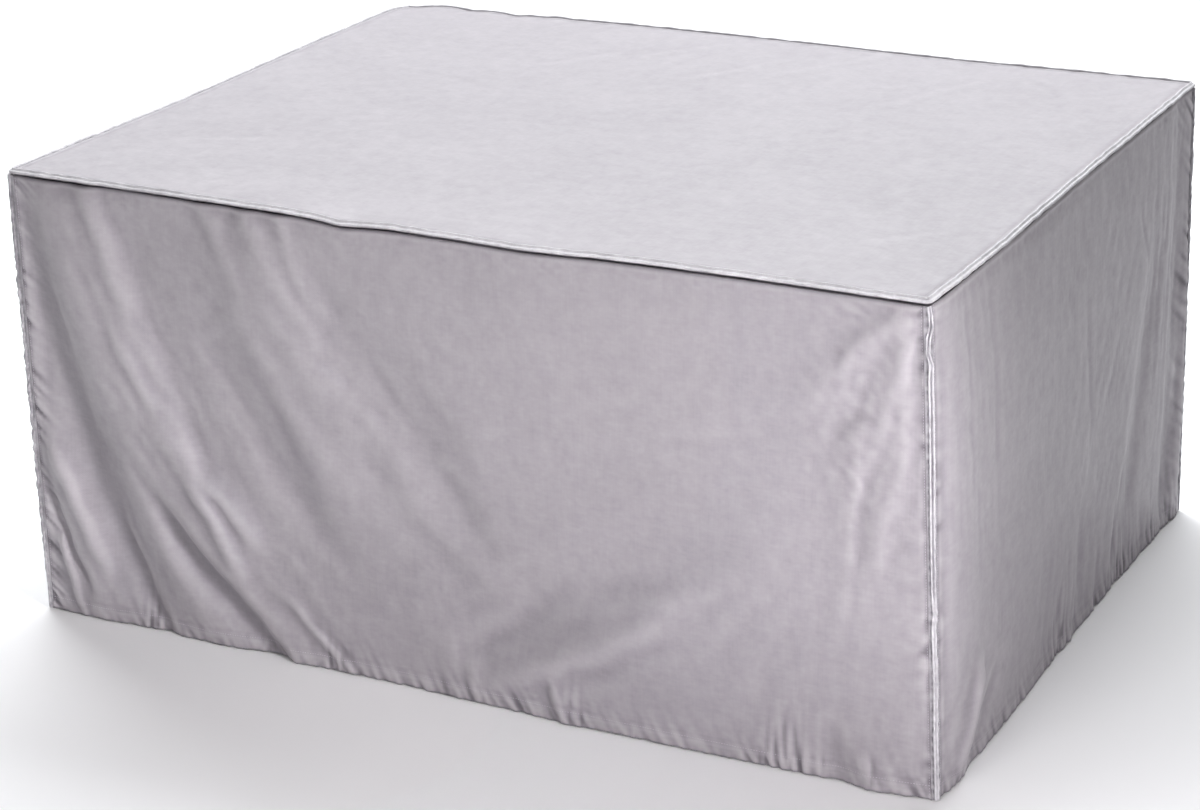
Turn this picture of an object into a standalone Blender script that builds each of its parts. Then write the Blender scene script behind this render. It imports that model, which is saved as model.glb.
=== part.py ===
"""Fitted patio furniture cover, hanging as it does over a table set.

A maker cuts five panels of coated cloth, a top and four skirts, and joins them with raised
welts: one round the top and one down each corner. The skirts end in a stitched hem. The frame's
origin is under the middle of the top, where the cloth lies on the furniture. +Z is up, +X runs
along the long side and the front faces -Y. All sizes are in metres.
"""

import math
from collections import namedtuple

import bmesh
import bpy

# ---------------------------------------------------------------- driving sizes
LENGTH = 1.500  # the long side of the top
WIDTH = 1.200  # the short side of the top
DROP = 0.745  # from the top's underside down to the hem
HEM_OUT = 0.019  # a short side stands out this far at its hem
HEM_IN = 0.025  # a long side is drawn in this far at its hem

CLOTH = 0.0020  # the panels' thickness
HEM_DEPTH = 0.025  # the folded and stitched hem
HEM_STEP = 0.0006  # the hem's extra layers, on each face
HEM_SLOPE = 0.003  # the height over which the hem swells to its layers

GAP = 0.0003  # between neighbouring pieces
EDGE_GAP = 0.0005  # round the top panel, whose square corners lie in the welt's round ones
WELT_PROUD = 0.0015  # a welt stands out this far from the skirts' outer face
TOP_WELT_WIDTH = 0.0080
TOP_WELT_RISE = 0.0032  # above the top's underside
TOP_WELT_FALL = 0.0055  # below the top's underside
TOP_WELT_BEND = 0.0050  # radius of its middle line round a corner
TOP_WELT_INSET = TOP_WELT_WIDTH / 2 - WELT_PROUD  # from the skirts' plane to its middle line
TOP_MARGIN = TOP_WELT_WIDTH - WELT_PROUD + EDGE_GAP  # from the skirts' plane to the top panel
CORNER_WELT_WIDTH = 0.0095
CORNER_WELT_CHAMFER = 0.0030
WELT_CHAMFER = 0.0022
SKIRT_TOP = TOP_WELT_FALL + GAP
SKIRT_MARGIN = CORNER_WELT_WIDTH - WELT_PROUD + GAP  # from a corner to a skirt's edge

# ---------------------------------------------------------------- how the cloth hangs
TOP_FADE = 0.045  # folds die out over this height under the top seam
SIDE_FADE = 0.035  # and over this width beside a corner seam
FOLD_END = 0.30  # the share of its length over which a fold rises at each end
HEM_HOLD = 0.45  # the share of a fold that is left at the stitched hem
HEM_HOLD_HEIGHT = 0.16  # and the height over which the hem holds it
RIM_FADE = 0.20  # a dip in the rim is taken up over this height of the skirt

# A crease runs from one place to another on its panel, seen from outside: across from the
# panel's left edge and down from the top. Its bow is how far its crest swings out half way, to
# the left of the way it runs. It slopes away over its two flank widths, on the left and on the
# right of its run, and it rises out of the panel, or sinks in where its rise is negative.
Fold = namedtuple("Fold", "across down to_across to_down bow left_flank right_flank rise")

FRONT_FOLDS = [
    Fold(0.050, -0.08, 0.500, 0.82, -0.075, 0.110, 0.065, 0.0170),
    Fold(0.200, 0.47, 0.470, 0.80, -0.010, 0.024, 0.024, -0.0085),
    Fold(0.150, 0.42, 0.370, 0.82, 0.000, 0.030, 0.030, 0.0050),
    Fold(0.005, 0.02, 0.230, 0.86, -0.020, 0.045, 0.050, -0.0100),
    Fold(0.010, 0.38, 0.115, 0.84, 0.012, 0.032, 0.030, 0.0090),
    Fold(0.330, -0.06, 0.840, 0.54, -0.035, 0.050, 0.042, 0.0085),
    Fold(0.600, 0.13, 0.800, 0.40, 0.000, 0.035, 0.035, -0.0040),
    Fold(0.300, 0.00, 0.640, 0.50, -0.020, 0.030, 0.030, 0.0045),
    Fold(0.300, 0.15, 0.600, 0.60, -0.020, 0.030, 0.030, -0.0055),
    Fold(0.780, 0.79, 1.400, 0.34, 0.000, 0.060, 0.110, 0.0100),
    Fold(0.700, 0.64, 0.990, 0.52, 0.000, 0.040, 0.040, -0.0050),
    Fold(1.495, -0.06, 1.385, 0.56, 0.010, 0.024, 0.026, 0.0070),
    Fold(1.500, -0.03, 1.260, 0.22, 0.010, 0.030, 0.030, 0.0045),
    Fold(0.775, 0.62, 0.805, 0.84, 0.000, 0.022, 0.022, 0.0050),
    Fold(0.925, 0.64, 0.960, 0.84, 0.006, 0.024, 0.022, 0.0055),
]
RIGHT_FOLDS = [
    Fold(0.120, -0.06, 0.130, 0.90, 0.000, 0.550, 0.080, 0.0120),
    Fold(0.170, 0.56, 0.020, 0.76, 0.000, 0.050, 0.050, 0.0070),
    Fold(0.240, 0.61, 0.070, 0.79, 0.000, 0.022, 0.026, -0.0080),
    Fold(0.860, 0.30, 0.620, 0.52, 0.000, 0.026, 0.034, -0.0045),
    Fold(1.010, 0.18, 0.780, 0.82, 0.000, 0.040, 0.040, -0.0065),
    Fold(1.150, 0.40, 1.040, 0.78, 0.000, 0.024, 0.030, -0.0080),
    Fold(1.140, 0.42, 1.115, 0.88, 0.000, 0.028, 0.024, 0.0070),
    Fold(0.615, 0.50, 0.600, 0.86, 0.000, 0.028, 0.028, -0.0045),
    Fold(0.430, 0.46, 0.455, 0.88, 0.000, 0.045, 0.045, -0.0040),
]
BACK_FOLDS = [
    Fold(0.020, -0.05, 0.300, 0.86, -0.030, 0.080, 0.070, 0.0120),
    Fold(0.470, 0.18, 0.560, 0.90, 0.010, 0.055, 0.060, -0.0070),
    Fold(0.760, 0.04, 0.720, 0.90, 0.000, 0.080, 0.080, 0.0090),
    Fold(1.480, -0.05, 1.150, 0.86, 0.035, 0.070, 0.080, 0.0120),
    Fold(1.010, 0.40, 0.960, 0.90, 0.000, 0.050, 0.050, -0.0060),
]
LEFT_FOLDS = [
    Fold(0.020, -0.05, 0.250, 0.86, -0.030, 0.080, 0.070, 0.0110),
    Fold(0.560, 0.10, 0.600, 0.90, 0.000, 0.070, 0.080, 0.0080),
    Fold(1.180, -0.05, 0.900, 0.86, 0.030, 0.070, 0.080, 0.0120),
    Fold(0.420, 0.42, 0.440, 0.90, 0.000, 0.045, 0.045, -0.0060),
]

# A billow is a broad swelling of a skirt about one place, or a hollow where its rise is negative.
Billow = namedtuple("Billow", "across down reach rise")

FRONT_BILLOWS = [
    Billow(1.080, 0.78, 0.330, 0.0085),
    Billow(1.440, 0.76, 0.055, 0.0080),
]
RIGHT_BILLOWS = [
    Billow(0.720, 0.78, 0.280, -0.0050),
]
BACK_BILLOWS = [
    Billow(0.420, 0.76, 0.300, 0.0060),
    Billow(1.000, 0.60, 0.260, -0.0040),
]
LEFT_BILLOWS = [
    Billow(0.700, 0.74, 0.300, 0.0060),
]

# Where the top and its rim have nothing close under them, they sag: where, how far, how wide.
Dip = namedtuple("Dip", "x y depth reach")
DIPS = [
    Dip(-0.745, 0.610, 0.0100, 0.055),
    Dip(-0.155, -0.600, 0.0045, 0.050),
    Dip(0.030, -0.600, 0.0050, 0.340),
    Dip(0.150, -0.600, 0.0030, 0.080),
    Dip(0.750, -0.350, 0.0055, 0.220),
    Dip(-0.750, -0.150, 0.0040, 0.280),
    Dip(-0.480, 0.600, 0.0030, 0.120),
    Dip(0.330, 0.600, 0.0025, 0.200),
]

# A skirt faces -Y until it is turned about Z. Columns and rows are its grid.
Skirt = namedtuple("Skirt", "name turn columns rows folds billows")
SKIRTS = [
    Skirt("front_panel", 0, 50, 22, FRONT_FOLDS, FRONT_BILLOWS),
    Skirt("right_panel", 90, 34, 16, RIGHT_FOLDS, RIGHT_BILLOWS),
    Skirt("back_panel", 180, 28, 10, BACK_FOLDS, BACK_BILLOWS),
    Skirt("left_panel", 270, 22, 10, LEFT_FOLDS, LEFT_BILLOWS),
]
TOP_COLUMNS, TOP_ROWS = 22, 16
BEND_STEPS = 4  # of the top welt round each corner


# ---------------------------------------------------------------- the hang of the cloth
def eased(share):
    """0 to 1 with soft ends, for a share that may run past them."""
    share = min(1.0, max(0.0, share))
    return share * share * (3 - 2 * share)


def fold_rise(fold, across, down):
    """How far one fold lifts the cloth at a place on its panel."""
    run_across = fold.to_across - fold.across
    run_down = fold.to_down - fold.down
    run = math.hypot(run_across, run_down)
    from_across, from_down = across - fold.across, down - fold.down
    along = (from_across * run_across + from_down * run_down) / run**2
    if not 0 < along < 1:
        return 0.0
    aside = (from_across * run_down - from_down * run_across) / run
    aside -= fold.bow * 4 * along * (1 - along)
    flank = fold.left_flank if aside > 0 else fold.right_flank
    ends = eased(along / FOLD_END) * eased((1 - along) / FOLD_END)
    return fold.rise * ends * math.exp(-((aside / flank) ** 2))


def bell(across, down, reach):
    """1 at a place, dying away over a reach round it."""
    return math.exp(-(across**2 + down**2) / reach**2)


def skirt_lift(spec, across, down, width):
    """How far a skirt's folds and billows lift its outer face out of its plane."""
    seams = eased(down / TOP_FADE) * eased(across / SIDE_FADE) * eased((width - across) / SIDE_FADE)
    held = 1 - (1 - HEM_HOLD) * eased((down - DROP + HEM_HOLD_HEIGHT) / HEM_HOLD_HEIGHT)
    folds = sum(fold_rise(fold, across, down) for fold in spec.folds)
    swell = sum(b.rise * bell(across - b.across, down - b.down, b.reach) for b in spec.billows)
    return seams * (held * folds + swell)


def rim_drop(x, y):
    """How far the top sags at a place on it or on its rim."""
    return sum(dip.depth * bell(x - dip.x, y - dip.y, dip.reach) for dip in DIPS)


def half_sizes(down, turn):
    """Half the hanging cover's size across a skirt, and out to its face, at a level."""
    share = down / DROP
    halves = LENGTH / 2 + HEM_OUT * share, WIDTH / 2 - HEM_IN * share
    return halves if turn % 180 == 0 else halves[::-1]


def turned(x, y, turn):
    """A place in a skirt's own plan, as it lies in the cover's."""
    c, s = math.cos(math.radians(turn)), math.sin(math.radians(turn))
    return x * c - y * s, x * s + y * c


# ---------------------------------------------------------------- solids
def new_object(name, mesh_maker, cloth):
    """An object in the scene with the mesh that mesh_maker leaves in a bmesh."""
    made = bmesh.new()
    mesh_maker(made)
    bmesh.ops.recalc_face_normals(made, faces=made.faces)
    mesh = bpy.data.meshes.new(name)
    made.to_mesh(mesh)
    made.free()
    mesh.materials.append(cloth)
    solid = bpy.data.objects.new(name, mesh)
    bpy.context.scene.collection.objects.link(solid)
    return solid


def sheet_solid(name, outer, inner, cloth):
    """A closed sheet between two grids of points with as many rows and columns."""
    last_row, last_column = len(outer) - 1, len(outer[0]) - 1

    def fill(made):
        near, far = ([[made.verts.new(p) for p in row] for row in grid] for grid in (outer, inner))
        for r in range(last_row):
            for c in range(last_column):
                ring = [(r, c), (r, c + 1), (r + 1, c + 1), (r + 1, c)]
                made.faces.new([near[i][j] for i, j in ring])
                made.faces.new([far[i][j] for i, j in (ring[0], ring[3], ring[2], ring[1])])
        rim = [(0, c) for c in range(last_column)]
        rim += [(r, last_column) for r in range(last_row)]
        rim += [(last_row, c) for c in range(last_column, 0, -1)]
        rim += [(r, 0) for r in range(last_row, 0, -1)]
        for (r, c), (r2, c2) in zip(rim, rim[1:] + rim[:1]):
            made.faces.new([near[r][c], far[r][c], far[r2][c2], near[r2][c2]])

    return new_object(name, fill, cloth)


def swept_solid(name, stations, closed, cloth):
    """A solid through cross sections with as many points, a ring where it is closed."""

    def fill(made):
        sections = [[made.verts.new(p) for p in section] for section in stations]
        pairs = list(zip(sections, sections[1:]))
        if closed:
            pairs.append((sections[-1], sections[0]))
        for one, two in pairs:
            for i, j in zip(range(len(one)), list(range(1, len(one))) + [0]):
                made.faces.new([one[i], one[j], two[j], two[i]])
        if not closed:
            made.faces.new(sections[0])
            made.faces.new(sections[-1])

    return new_object(name, fill, cloth)


def skirt_levels(rows):
    """Heights down a skirt: even rows, then the step into the hem and its edge."""
    hem_top = DROP - HEM_DEPTH
    body_end = hem_top - HEM_SLOPE
    even = [SKIRT_TOP + (body_end - SKIRT_TOP) * row / rows for row in range(rows + 1)]
    return even + [hem_top, DROP]


def skirt(spec, cloth):
    """One side panel with its folds and its hem."""
    rim_half, rim_out = half_sizes(0, spec.turn)
    outer, inner = [], []
    for down in skirt_levels(spec.rows):
        hem = HEM_STEP if down >= DROP - HEM_DEPTH else 0.0
        outer_row, inner_row = [], []
        for column in range(spec.columns + 1):
            side = 2 * column / spec.columns - 1
            rim_place = turned((rim_half - SKIRT_MARGIN) * side, -rim_out, spec.turn)
            level = down + rim_drop(*rim_place) * (1 - eased(down / RIM_FADE))
            half_across, half_out = half_sizes(level, spec.turn)
            half_across -= SKIRT_MARGIN
            x = half_across * side
            out = half_out + skirt_lift(spec, x + half_across, down, 2 * half_across)
            outer_row.append((x, -out - hem, -level))
            inner_row.append((x, -out + CLOTH + hem, -level))
        outer.append(outer_row)
        inner.append(inner_row)
    panel = sheet_solid(spec.name, outer, inner, cloth)
    panel.rotation_euler[2] = math.radians(spec.turn)
    return panel


def top_panel(cloth):
    """The top, lying on the furniture, with its few shallow dips."""
    half_x, half_y = LENGTH / 2 - TOP_MARGIN, WIDTH / 2 - TOP_MARGIN
    upper, under = [], []
    for row in range(TOP_ROWS + 1):
        y = half_y * (2 * row / TOP_ROWS - 1)
        places = [(half_x * (2 * column / TOP_COLUMNS - 1), y) for column in range(TOP_COLUMNS + 1)]
        upper.append([(x, y, CLOTH - rim_drop(x, y)) for x, y in places])
        under.append([(x, y, -rim_drop(x, y)) for x, y in places])
    return sheet_solid("top_panel", upper, under, cloth)


def chamfered(low_x, high_x, low_y, high_y, cut):
    """The corners of an upright rectangle with its corners cut off."""
    return [
        (low_x + cut, low_y),
        (high_x - cut, low_y),
        (high_x, low_y + cut),
        (high_x, high_y - cut),
        (high_x - cut, high_y),
        (low_x + cut, high_y),
        (low_x, high_y - cut),
        (low_x, low_y + cut),
    ]


def rim_path():
    """Places round the top welt's middle line, each with the way outwards in plan."""
    path = []
    for spec in SKIRTS:
        half_across, half_out = half_sizes(0, spec.turn)
        half_across -= TOP_WELT_INSET + TOP_WELT_BEND
        out = half_out - TOP_WELT_INSET
        for column in range(spec.columns + 1):
            x = half_across * (2 * column / spec.columns - 1)
            path.append((*turned(x, -out, spec.turn), spec.turn - 90))
        for step in range(1, BEND_STEPS):
            angle = -90 + 90 * step / BEND_STEPS
            x = half_across + TOP_WELT_BEND * math.cos(math.radians(angle))
            y = -out + TOP_WELT_BEND + TOP_WELT_BEND * math.sin(math.radians(angle))
            path.append((*turned(x, y, spec.turn), spec.turn + angle))
    return path


def top_welt(cloth):
    """The raised seam all round the top, in one ring."""
    half = TOP_WELT_WIDTH / 2
    section = chamfered(-half, half, -TOP_WELT_FALL, TOP_WELT_RISE, WELT_CHAMFER)
    stations = []
    for x, y, angle in rim_path():
        out_x, out_y = math.cos(math.radians(angle)), math.sin(math.radians(angle))
        sag = rim_drop(x + out_x * TOP_WELT_INSET, y + out_y * TOP_WELT_INSET)
        stations.append([(x + out_x * o, y + out_y * o, z - sag) for o, z in section])
    return swept_solid("top_welt", stations, True, cloth)


def corner_welt(name, side_x, side_y, cloth):
    """The raised seam down one corner, from under the top welt to the hem."""
    stations = []
    top = SKIRT_TOP + rim_drop(side_x * LENGTH / 2, side_y * WIDTH / 2)
    for down in (top, DROP):
        half_x, half_y = half_sizes(down, 0)
        section = chamfered(
            WELT_PROUD - CORNER_WELT_WIDTH,
            WELT_PROUD,
            WELT_PROUD - CORNER_WELT_WIDTH,
            WELT_PROUD,
            CORNER_WELT_CHAMFER,
        )
        stations.append(
            [(side_x * (half_x + x), side_y * (half_y + y), -down) for x, y in section]
        )
    return swept_solid(name, stations, False, cloth)


# ---------------------------------------------------------------- materials
def cloth_material(name, colour, roughness):
    """A coated cloth, as a plain Principled surface."""
    material = bpy.data.materials.new(name)
    material.use_nodes = True
    shader = material.node_tree.nodes["Principled BSDF"]
    shader.inputs["Base Color"].default_value = (*colour, 1.0)
    shader.inputs["Roughness"].default_value = roughness
    shader.inputs["Metallic"].default_value = 0.0
    return material


def main():
    for old in list(bpy.data.objects):
        bpy.data.objects.remove(old)
    silver = cloth_material("silver_coated_cloth", (0.48, 0.46, 0.49), 0.55)
    seam = cloth_material("silver_seam_cloth", (0.56, 0.54, 0.57), 0.50)

    cover = bpy.data.objects.new("cover", None)
    bpy.context.scene.collection.objects.link(cover)
    pieces = [top_panel(silver), top_welt(seam)]
    pieces += [skirt(spec, silver) for spec in SKIRTS]
    for front_back, side_y in (("front", -1), ("back", 1)):
        for left_right, side_x in (("left", -1), ("right", 1)):
            name = f"corner_welt_{front_back}_{left_right}"
            pieces.append(corner_welt(name, side_x, side_y, seam))
    for piece in pieces:
        piece.parent = cover


main()
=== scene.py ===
"""Looks of the fitted patio furniture cover.

Five panels of coated cloth, a top and four skirts, make a slack box that is open below. Each
panel is a thin closed sheet on the folds of its solid, with the finer creases, the puckers along
its seams and the gathers of its hem. Rolled welts join the panels and rows of stitches hold them.
+Z is up, +X runs along the long side, the front faces -Y, and the origin is under the middle of
the top. A place on a panel is across from its left edge, seen from outside, and down from its
upper edge. Sizes are in metres, but the tables made by table() are written in millimetres.
"""

import math
from collections import namedtuple

import bmesh
import bpy
import numpy as np
from mathutils import Matrix, Vector


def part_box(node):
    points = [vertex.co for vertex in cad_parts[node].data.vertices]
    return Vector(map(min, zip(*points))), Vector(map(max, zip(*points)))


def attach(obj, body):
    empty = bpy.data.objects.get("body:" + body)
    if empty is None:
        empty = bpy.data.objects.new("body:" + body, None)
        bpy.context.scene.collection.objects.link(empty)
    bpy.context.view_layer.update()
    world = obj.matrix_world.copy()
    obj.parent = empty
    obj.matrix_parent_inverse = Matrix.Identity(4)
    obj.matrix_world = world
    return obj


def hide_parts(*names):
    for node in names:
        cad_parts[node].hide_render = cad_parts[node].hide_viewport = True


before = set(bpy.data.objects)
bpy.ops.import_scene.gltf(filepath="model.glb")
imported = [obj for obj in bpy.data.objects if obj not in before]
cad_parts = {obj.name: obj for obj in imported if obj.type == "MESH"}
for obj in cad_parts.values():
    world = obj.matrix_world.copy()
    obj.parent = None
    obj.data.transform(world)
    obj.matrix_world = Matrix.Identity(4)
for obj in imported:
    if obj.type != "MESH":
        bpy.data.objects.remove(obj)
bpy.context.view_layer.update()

# ---------------------------------------------------------------- sizes
CLOTH = 0.0020  # the panels' thickness
HEM_DEPTH = 0.025  # the folded and stitched hem
LAYER_STEP = 0.0006  # the extra layers of a hem or a seam lift the cloth this far
LAYER_SLOPE = 0.002  # over this width
GAP = 0.0003  # between neighbouring pieces
WELT_PROUD = 0.0015  # a welt stands out this far from the skirts' outer face
TOP_WELT_WIDTH = 0.0080
TOP_WELT_BEND = 0.0050  # radius of its middle line round a corner
TOP_WELT_INSET = TOP_WELT_WIDTH / 2 - WELT_PROUD
TOP_MARGIN = TOP_WELT_WIDTH - WELT_PROUD + 0.0005  # from the skirts' plane to the top panel
CORNER_WELT_WIDTH = 0.0095
SKIRT_TOP = 0.0058  # the skirts start this far under the top's underside
SKIRT_MARGIN = CORNER_WELT_WIDTH - WELT_PROUD + GAP  # from a corner to a skirt's edge

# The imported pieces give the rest: the rim's welt the plan, a corner's welt the drop and its lean.
RIM_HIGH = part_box("top_welt")[1]
CORNER_LOW, CORNER_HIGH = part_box("corner_welt_front_right")
LENGTH = 2 * (RIM_HIGH.x - WELT_PROUD)
WIDTH = 2 * (RIM_HIGH.y - WELT_PROUD)
DROP = -CORNER_LOW.z
HEM_OUT = CORNER_HIGH.x - WELT_PROUD - LENGTH / 2
HEM_IN = WIDTH / 2 + WELT_PROUD - CORNER_WELT_WIDTH + CORNER_HIGH.y

# How the cloth hangs, as in the solids.
TOP_FADE = 0.045  # folds die out over this height under the top seam
SIDE_FADE = 0.035  # and over this width beside a corner seam
FOLD_END = 0.30  # the share of its length over which a fold rises at each end
HEM_HOLD = 0.45  # the share of a fold that is left at the stitched hem
HEM_HOLD_HEIGHT = 0.16  # and the height over which the hem holds it
RIM_FADE = 0.20  # a dip in the rim is taken up over this height of the skirt

# The finer relief, which only the looks have.
CREASE_FADE = 0.012  # creases die out over this width beside a seam
CREASE_TOP_FADE = 0.010  # and over this height under the top seam
TUCK_IN = 0.0012  # a skirt's upper edge is drawn in this far under the rim
TUCK_IN_HEIGHT = 0.004  # over this height
CRINKLE = 0.00045  # how high the cloth's random crinkles are
CRINKLE_SPACING = 0.030
CRINKLE_PATCH = (0.16, 0.13)  # they come in patches this wide and this high
WANDER = 0.006  # how far a crease strays from its drawn line
WANDER_SPACING = 0.060
PUCKER_START = 0.003  # puckers rise over this distance from their seam
PUCKER_PATCH = 0.11  # and come in patches this long
GATHER_RISE = 0.0013
GATHER_SPACING = 0.0085
GATHER_LENGTH = 0.060
HEM_WAVERS = [(0.0007, 0.024), (0.0012, 0.0095)]  # how far the hem's edge dips, at what spacing
HEM_WAVER_HEIGHT = 0.030  # the height over which that dies out
FLOOR_GAP = 0.0022  # from the drawn hem down to the floor, more than it dips
INNER_SLACK = 0.0004  # a skirt's plain inner face lies this much further in than its relief
UNDER_SLACK = 0.0003  # and the top's underside this much lower


# ---------------------------------------------------------------- folds and creases
def table(kind, lines, unscaled=""):
    """A table's rows, its millimetres turned to metres, but for the columns named as unscaled."""
    scales = [1 if column in unscaled.split() else 1000 for column in kind._fields]
    return [kind(*(value / scale for value, scale in zip(line, scales))) for line in lines]


# A crease runs from one place to another on its panel. Its bow is how far its crest swings out
# half way, to the left of the way it runs. It slopes away over its two flanks, on the left and on
# the right of its run, and it rises out of the panel, or sinks in where its rise is negative.
Crease = namedtuple("Crease", "across down to_across to_down bow left_flank right_flank rise")

# The broad folds of the solids.
FRONT_FOLDS = table(Crease, [
    (50, -80, 500, 820, -75, 110, 65, 17),
    (200, 470, 470, 800, -10, 24, 24, -8.5),
    (150, 420, 370, 820, 0, 30, 30, 5),
    (5, 20, 230, 860, -20, 45, 50, -10),
    (10, 380, 115, 840, 12, 32, 30, 9),
    (330, -60, 840, 540, -35, 50, 42, 8.5),
    (600, 130, 800, 400, 0, 35, 35, -4),
    (300, 0, 640, 500, -20, 30, 30, 4.5),
    (300, 150, 600, 600, -20, 30, 30, -5.5),
    (780, 790, 1400, 340, 0, 60, 110, 10),
    (700, 640, 990, 520, 0, 40, 40, -5),
    (1495, -60, 1385, 560, 10, 24, 26, 7),
    (1500, -30, 1260, 220, 10, 30, 30, 4.5),
    (775, 620, 805, 840, 0, 22, 22, 5),
    (925, 640, 960, 840, 6, 24, 22, 5.5),
])
RIGHT_FOLDS = table(Crease, [
    (120, -60, 130, 900, 0, 550, 80, 12),
    (170, 560, 20, 760, 0, 50, 50, 7),
    (240, 610, 70, 790, 0, 22, 26, -8),
    (860, 300, 620, 520, 0, 26, 34, -4.5),
    (1010, 180, 780, 820, 0, 40, 40, -6.5),
    (1150, 400, 1040, 780, 0, 24, 30, -8),
    (1140, 420, 1115, 880, 0, 28, 24, 7),
    (615, 500, 600, 860, 0, 28, 28, -4.5),
    (430, 460, 455, 880, 0, 45, 45, -4),
])
BACK_FOLDS = table(Crease, [
    (20, -50, 300, 860, -30, 80, 70, 12),
    (470, 180, 560, 900, 10, 55, 60, -7),
    (760, 40, 720, 900, 0, 80, 80, 9),
    (1480, -50, 1150, 860, 35, 70, 80, 12),
    (1010, 400, 960, 900, 0, 50, 50, -6),
])
LEFT_FOLDS = table(Crease, [
    (20, -50, 250, 860, -30, 80, 70, 11),
    (560, 100, 600, 900, 0, 70, 80, 8),
    (1180, -50, 900, 860, 30, 70, 80, 12),
    (420, 420, 440, 900, 0, 45, 45, -6),
])

# The finer creases, which only the looks have.
FRONT_CREASES = table(Crease, [
    # the hollow down the left, and the lit band beside it
    (10, -60, 110, 460, -12, 30, 20, -2),
    (40, -80, 165, 520, -10, 50, 28, 4.2),
    (60, 320, 200, 780, 0, 50, 30, -5),
    (140, 360, 310, 760, 0, 36, 46, 4.5),
    (160, -60, 380, 520, -14, 55, 38, -9),
    # the two pleats that run into the hem on the left, and the ridge beside them
    (175, 445, 545, 870, 0, 19, 40, -10.5),
    (215, 450, 580, 865, 0, 36, 16, 6),
    (110, 520, 290, 860, 0, 13, 22, -7),
    (440, 610, 620, 800, 0, 12, 10, 4),
    (480, 655, 570, 720, 0, 7, 7, -2.4),
    # the fingers on the broad ridge
    (235, 365, 445, 585, 0, 20, 32, 10),
    (325, 470, 400, 560, 0, 10, 10, -4),
    (285, 440, 405, 630, 0, 18, 18, 9),
    (95, -80, 225, 250, 0, 18, 14, 4),
    (150, 190, 290, 450, 0, 13, 11, 2.8),
    # the pulls that run down from the rim towards the right
    (375, 30, 600, 570, 0, 80, 42, 5.5),
    (450, 60, 840, 580, -24, 44, 44, -6.6),
    (505, 80, 850, 540, 0, 32, 48, -7.6),
    (640, 400, 860, 570, 0, 34, 22, 3.4),
    (430, 290, 530, 490, 0, 18, 18, -1.8),
    (370, -70, 560, 240, 0, 22, 18, 3.6),
    (300, -70, 440, 200, 0, 22, 18, 3),
    (440, -70, 560, 200, 0, 20, 16, 3),
    # the crow's foot under the near corner
    (1494, -40, 1380, 330, 6, 13, 40, 3),
    (1404, 160, 1372, 560, 0, 12, 30, 2.6),
    (1494, -20, 1330, 150, 0, 14, 16, 1.8),
    (1480, 10, 1340, 260, 0, 16, 16, -1.4),
    (1494, 20, 1430, 330, 0, 12, 14, -1.2),
    (1495, -60, 1385, 560, 10, 24, 26, -3),
    (1500, -30, 1260, 220, 10, 30, 30, -2),
    # the slack on the right, and the bulges at its hem
    (1050, 278, 1270, 238, 0, 8, 9, -0.9),
    (760, 735, 1180, 500, -6, 24, 24, 7.2),
    (740, 690, 940, 555, 0, 22, 22, -5.5),
    (880, 700, 1060, 620, 0, 20, 22, -4),
    (960, 570, 1180, 480, 0, 22, 20, 3),
    (922, 660, 970, 770, -12, 8, 10, 3.4),
    (742, 600, 778, 860, 0, 14, 34, 2.2),
    (1362, 640, 1402, 830, 0, 20, 20, -4.6),
    (1410, 680, 1455, 800, 0, 13, 14, 3.6),
    # the puffed fold on the left edge
    (4, 420, 130, 690, 12, 18, 16, 9.6),
    (-4, 500, 86, 730, 4, 10, 10, -8.5),
    (26, 570, 68, 760, 0, 8, 9, 5.6),
])
RIGHT_CREASES = table(Crease, [
    # the edge beside the near corner, which turns to the front
    (50, -150, 52, 900, 0, 70, 32, 6),
    # the pleat and the lit fold at the near hem corner
    (126, 560, 40, 750, 0, 24, 13, 9.5),
    (182, 560, 92, 745, 0, 26, 28, -6.2),
    # the far edge, which stands up beside its seam
    (1130, -100, 1085, 560, 0, 34, 36, -5),
    (1160, 200, 1150, 700, 0, 22, 26, 6),
    # the slack towards the far corner
    (860, 300, 620, 520, 0, 26, 34, 3.2),
    (998, 160, 950, 520, 0, 32, 34, -2.4),
    (968, 340, 850, 680, 0, 30, 32, -2),
    (850, 520, 765, 760, 0, 14, 16, -2.4),
    (1090, 400, 1030, 780, 0, 26, 28, -4.6),
    (1100, 400, 1105, 800, 0, 24, 24, 4),
    (1165, 540, 1150, 860, 0, 18, 24, -4.4),
    # upright pulls, and the flutes that rise from the hem
    (108, -20, 112, 380, 0, 10, 10, -1.2),
    (205, -50, 215, 400, 0, 14, 14, -1.4),
    (630, 120, 655, 520, 0, 14, 14, -1.2),
    (900, 120, 950, 240, 0, 8, 8, -1.1),
    (500, 580, 515, 860, 0, 18, 20, -3),
    (560, 600, 565, 860, 0, 14, 14, 1.8),
    (705, 600, 700, 860, 0, 14, 14, -2.2),
    (795, 570, 805, 860, 0, 14, 16, -2.8),
    (930, 620, 945, 860, 0, 16, 16, -2.4),
])
BACK_CREASES = table(Crease, [
    (60, -50, 280, 440, 0, 26, 30, 3.8),
    (340, 260, 500, 820, 0, 24, 32, -4.6),
    (610, -40, 700, 340, 0, 22, 26, 2.6),
    (890, 380, 840, 840, 0, 26, 22, 4.2),
    (1350, 160, 1160, 680, 0, 30, 26, -4.2),
    (1440, -40, 1320, 300, 0, 24, 20, 4),
])
LEFT_CREASES = table(Crease, [
    (90, 40, 250, 540, 0, 24, 30, 3.8),
    (320, 380, 390, 840, 0, 24, 26, -4.4),
    (690, 20, 745, 500, 0, 22, 26, -2.8),
    (870, 420, 800, 840, 0, 24, 22, 4),
    (1110, 20, 990, 480, 0, 26, 22, 3.8),
])
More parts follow.
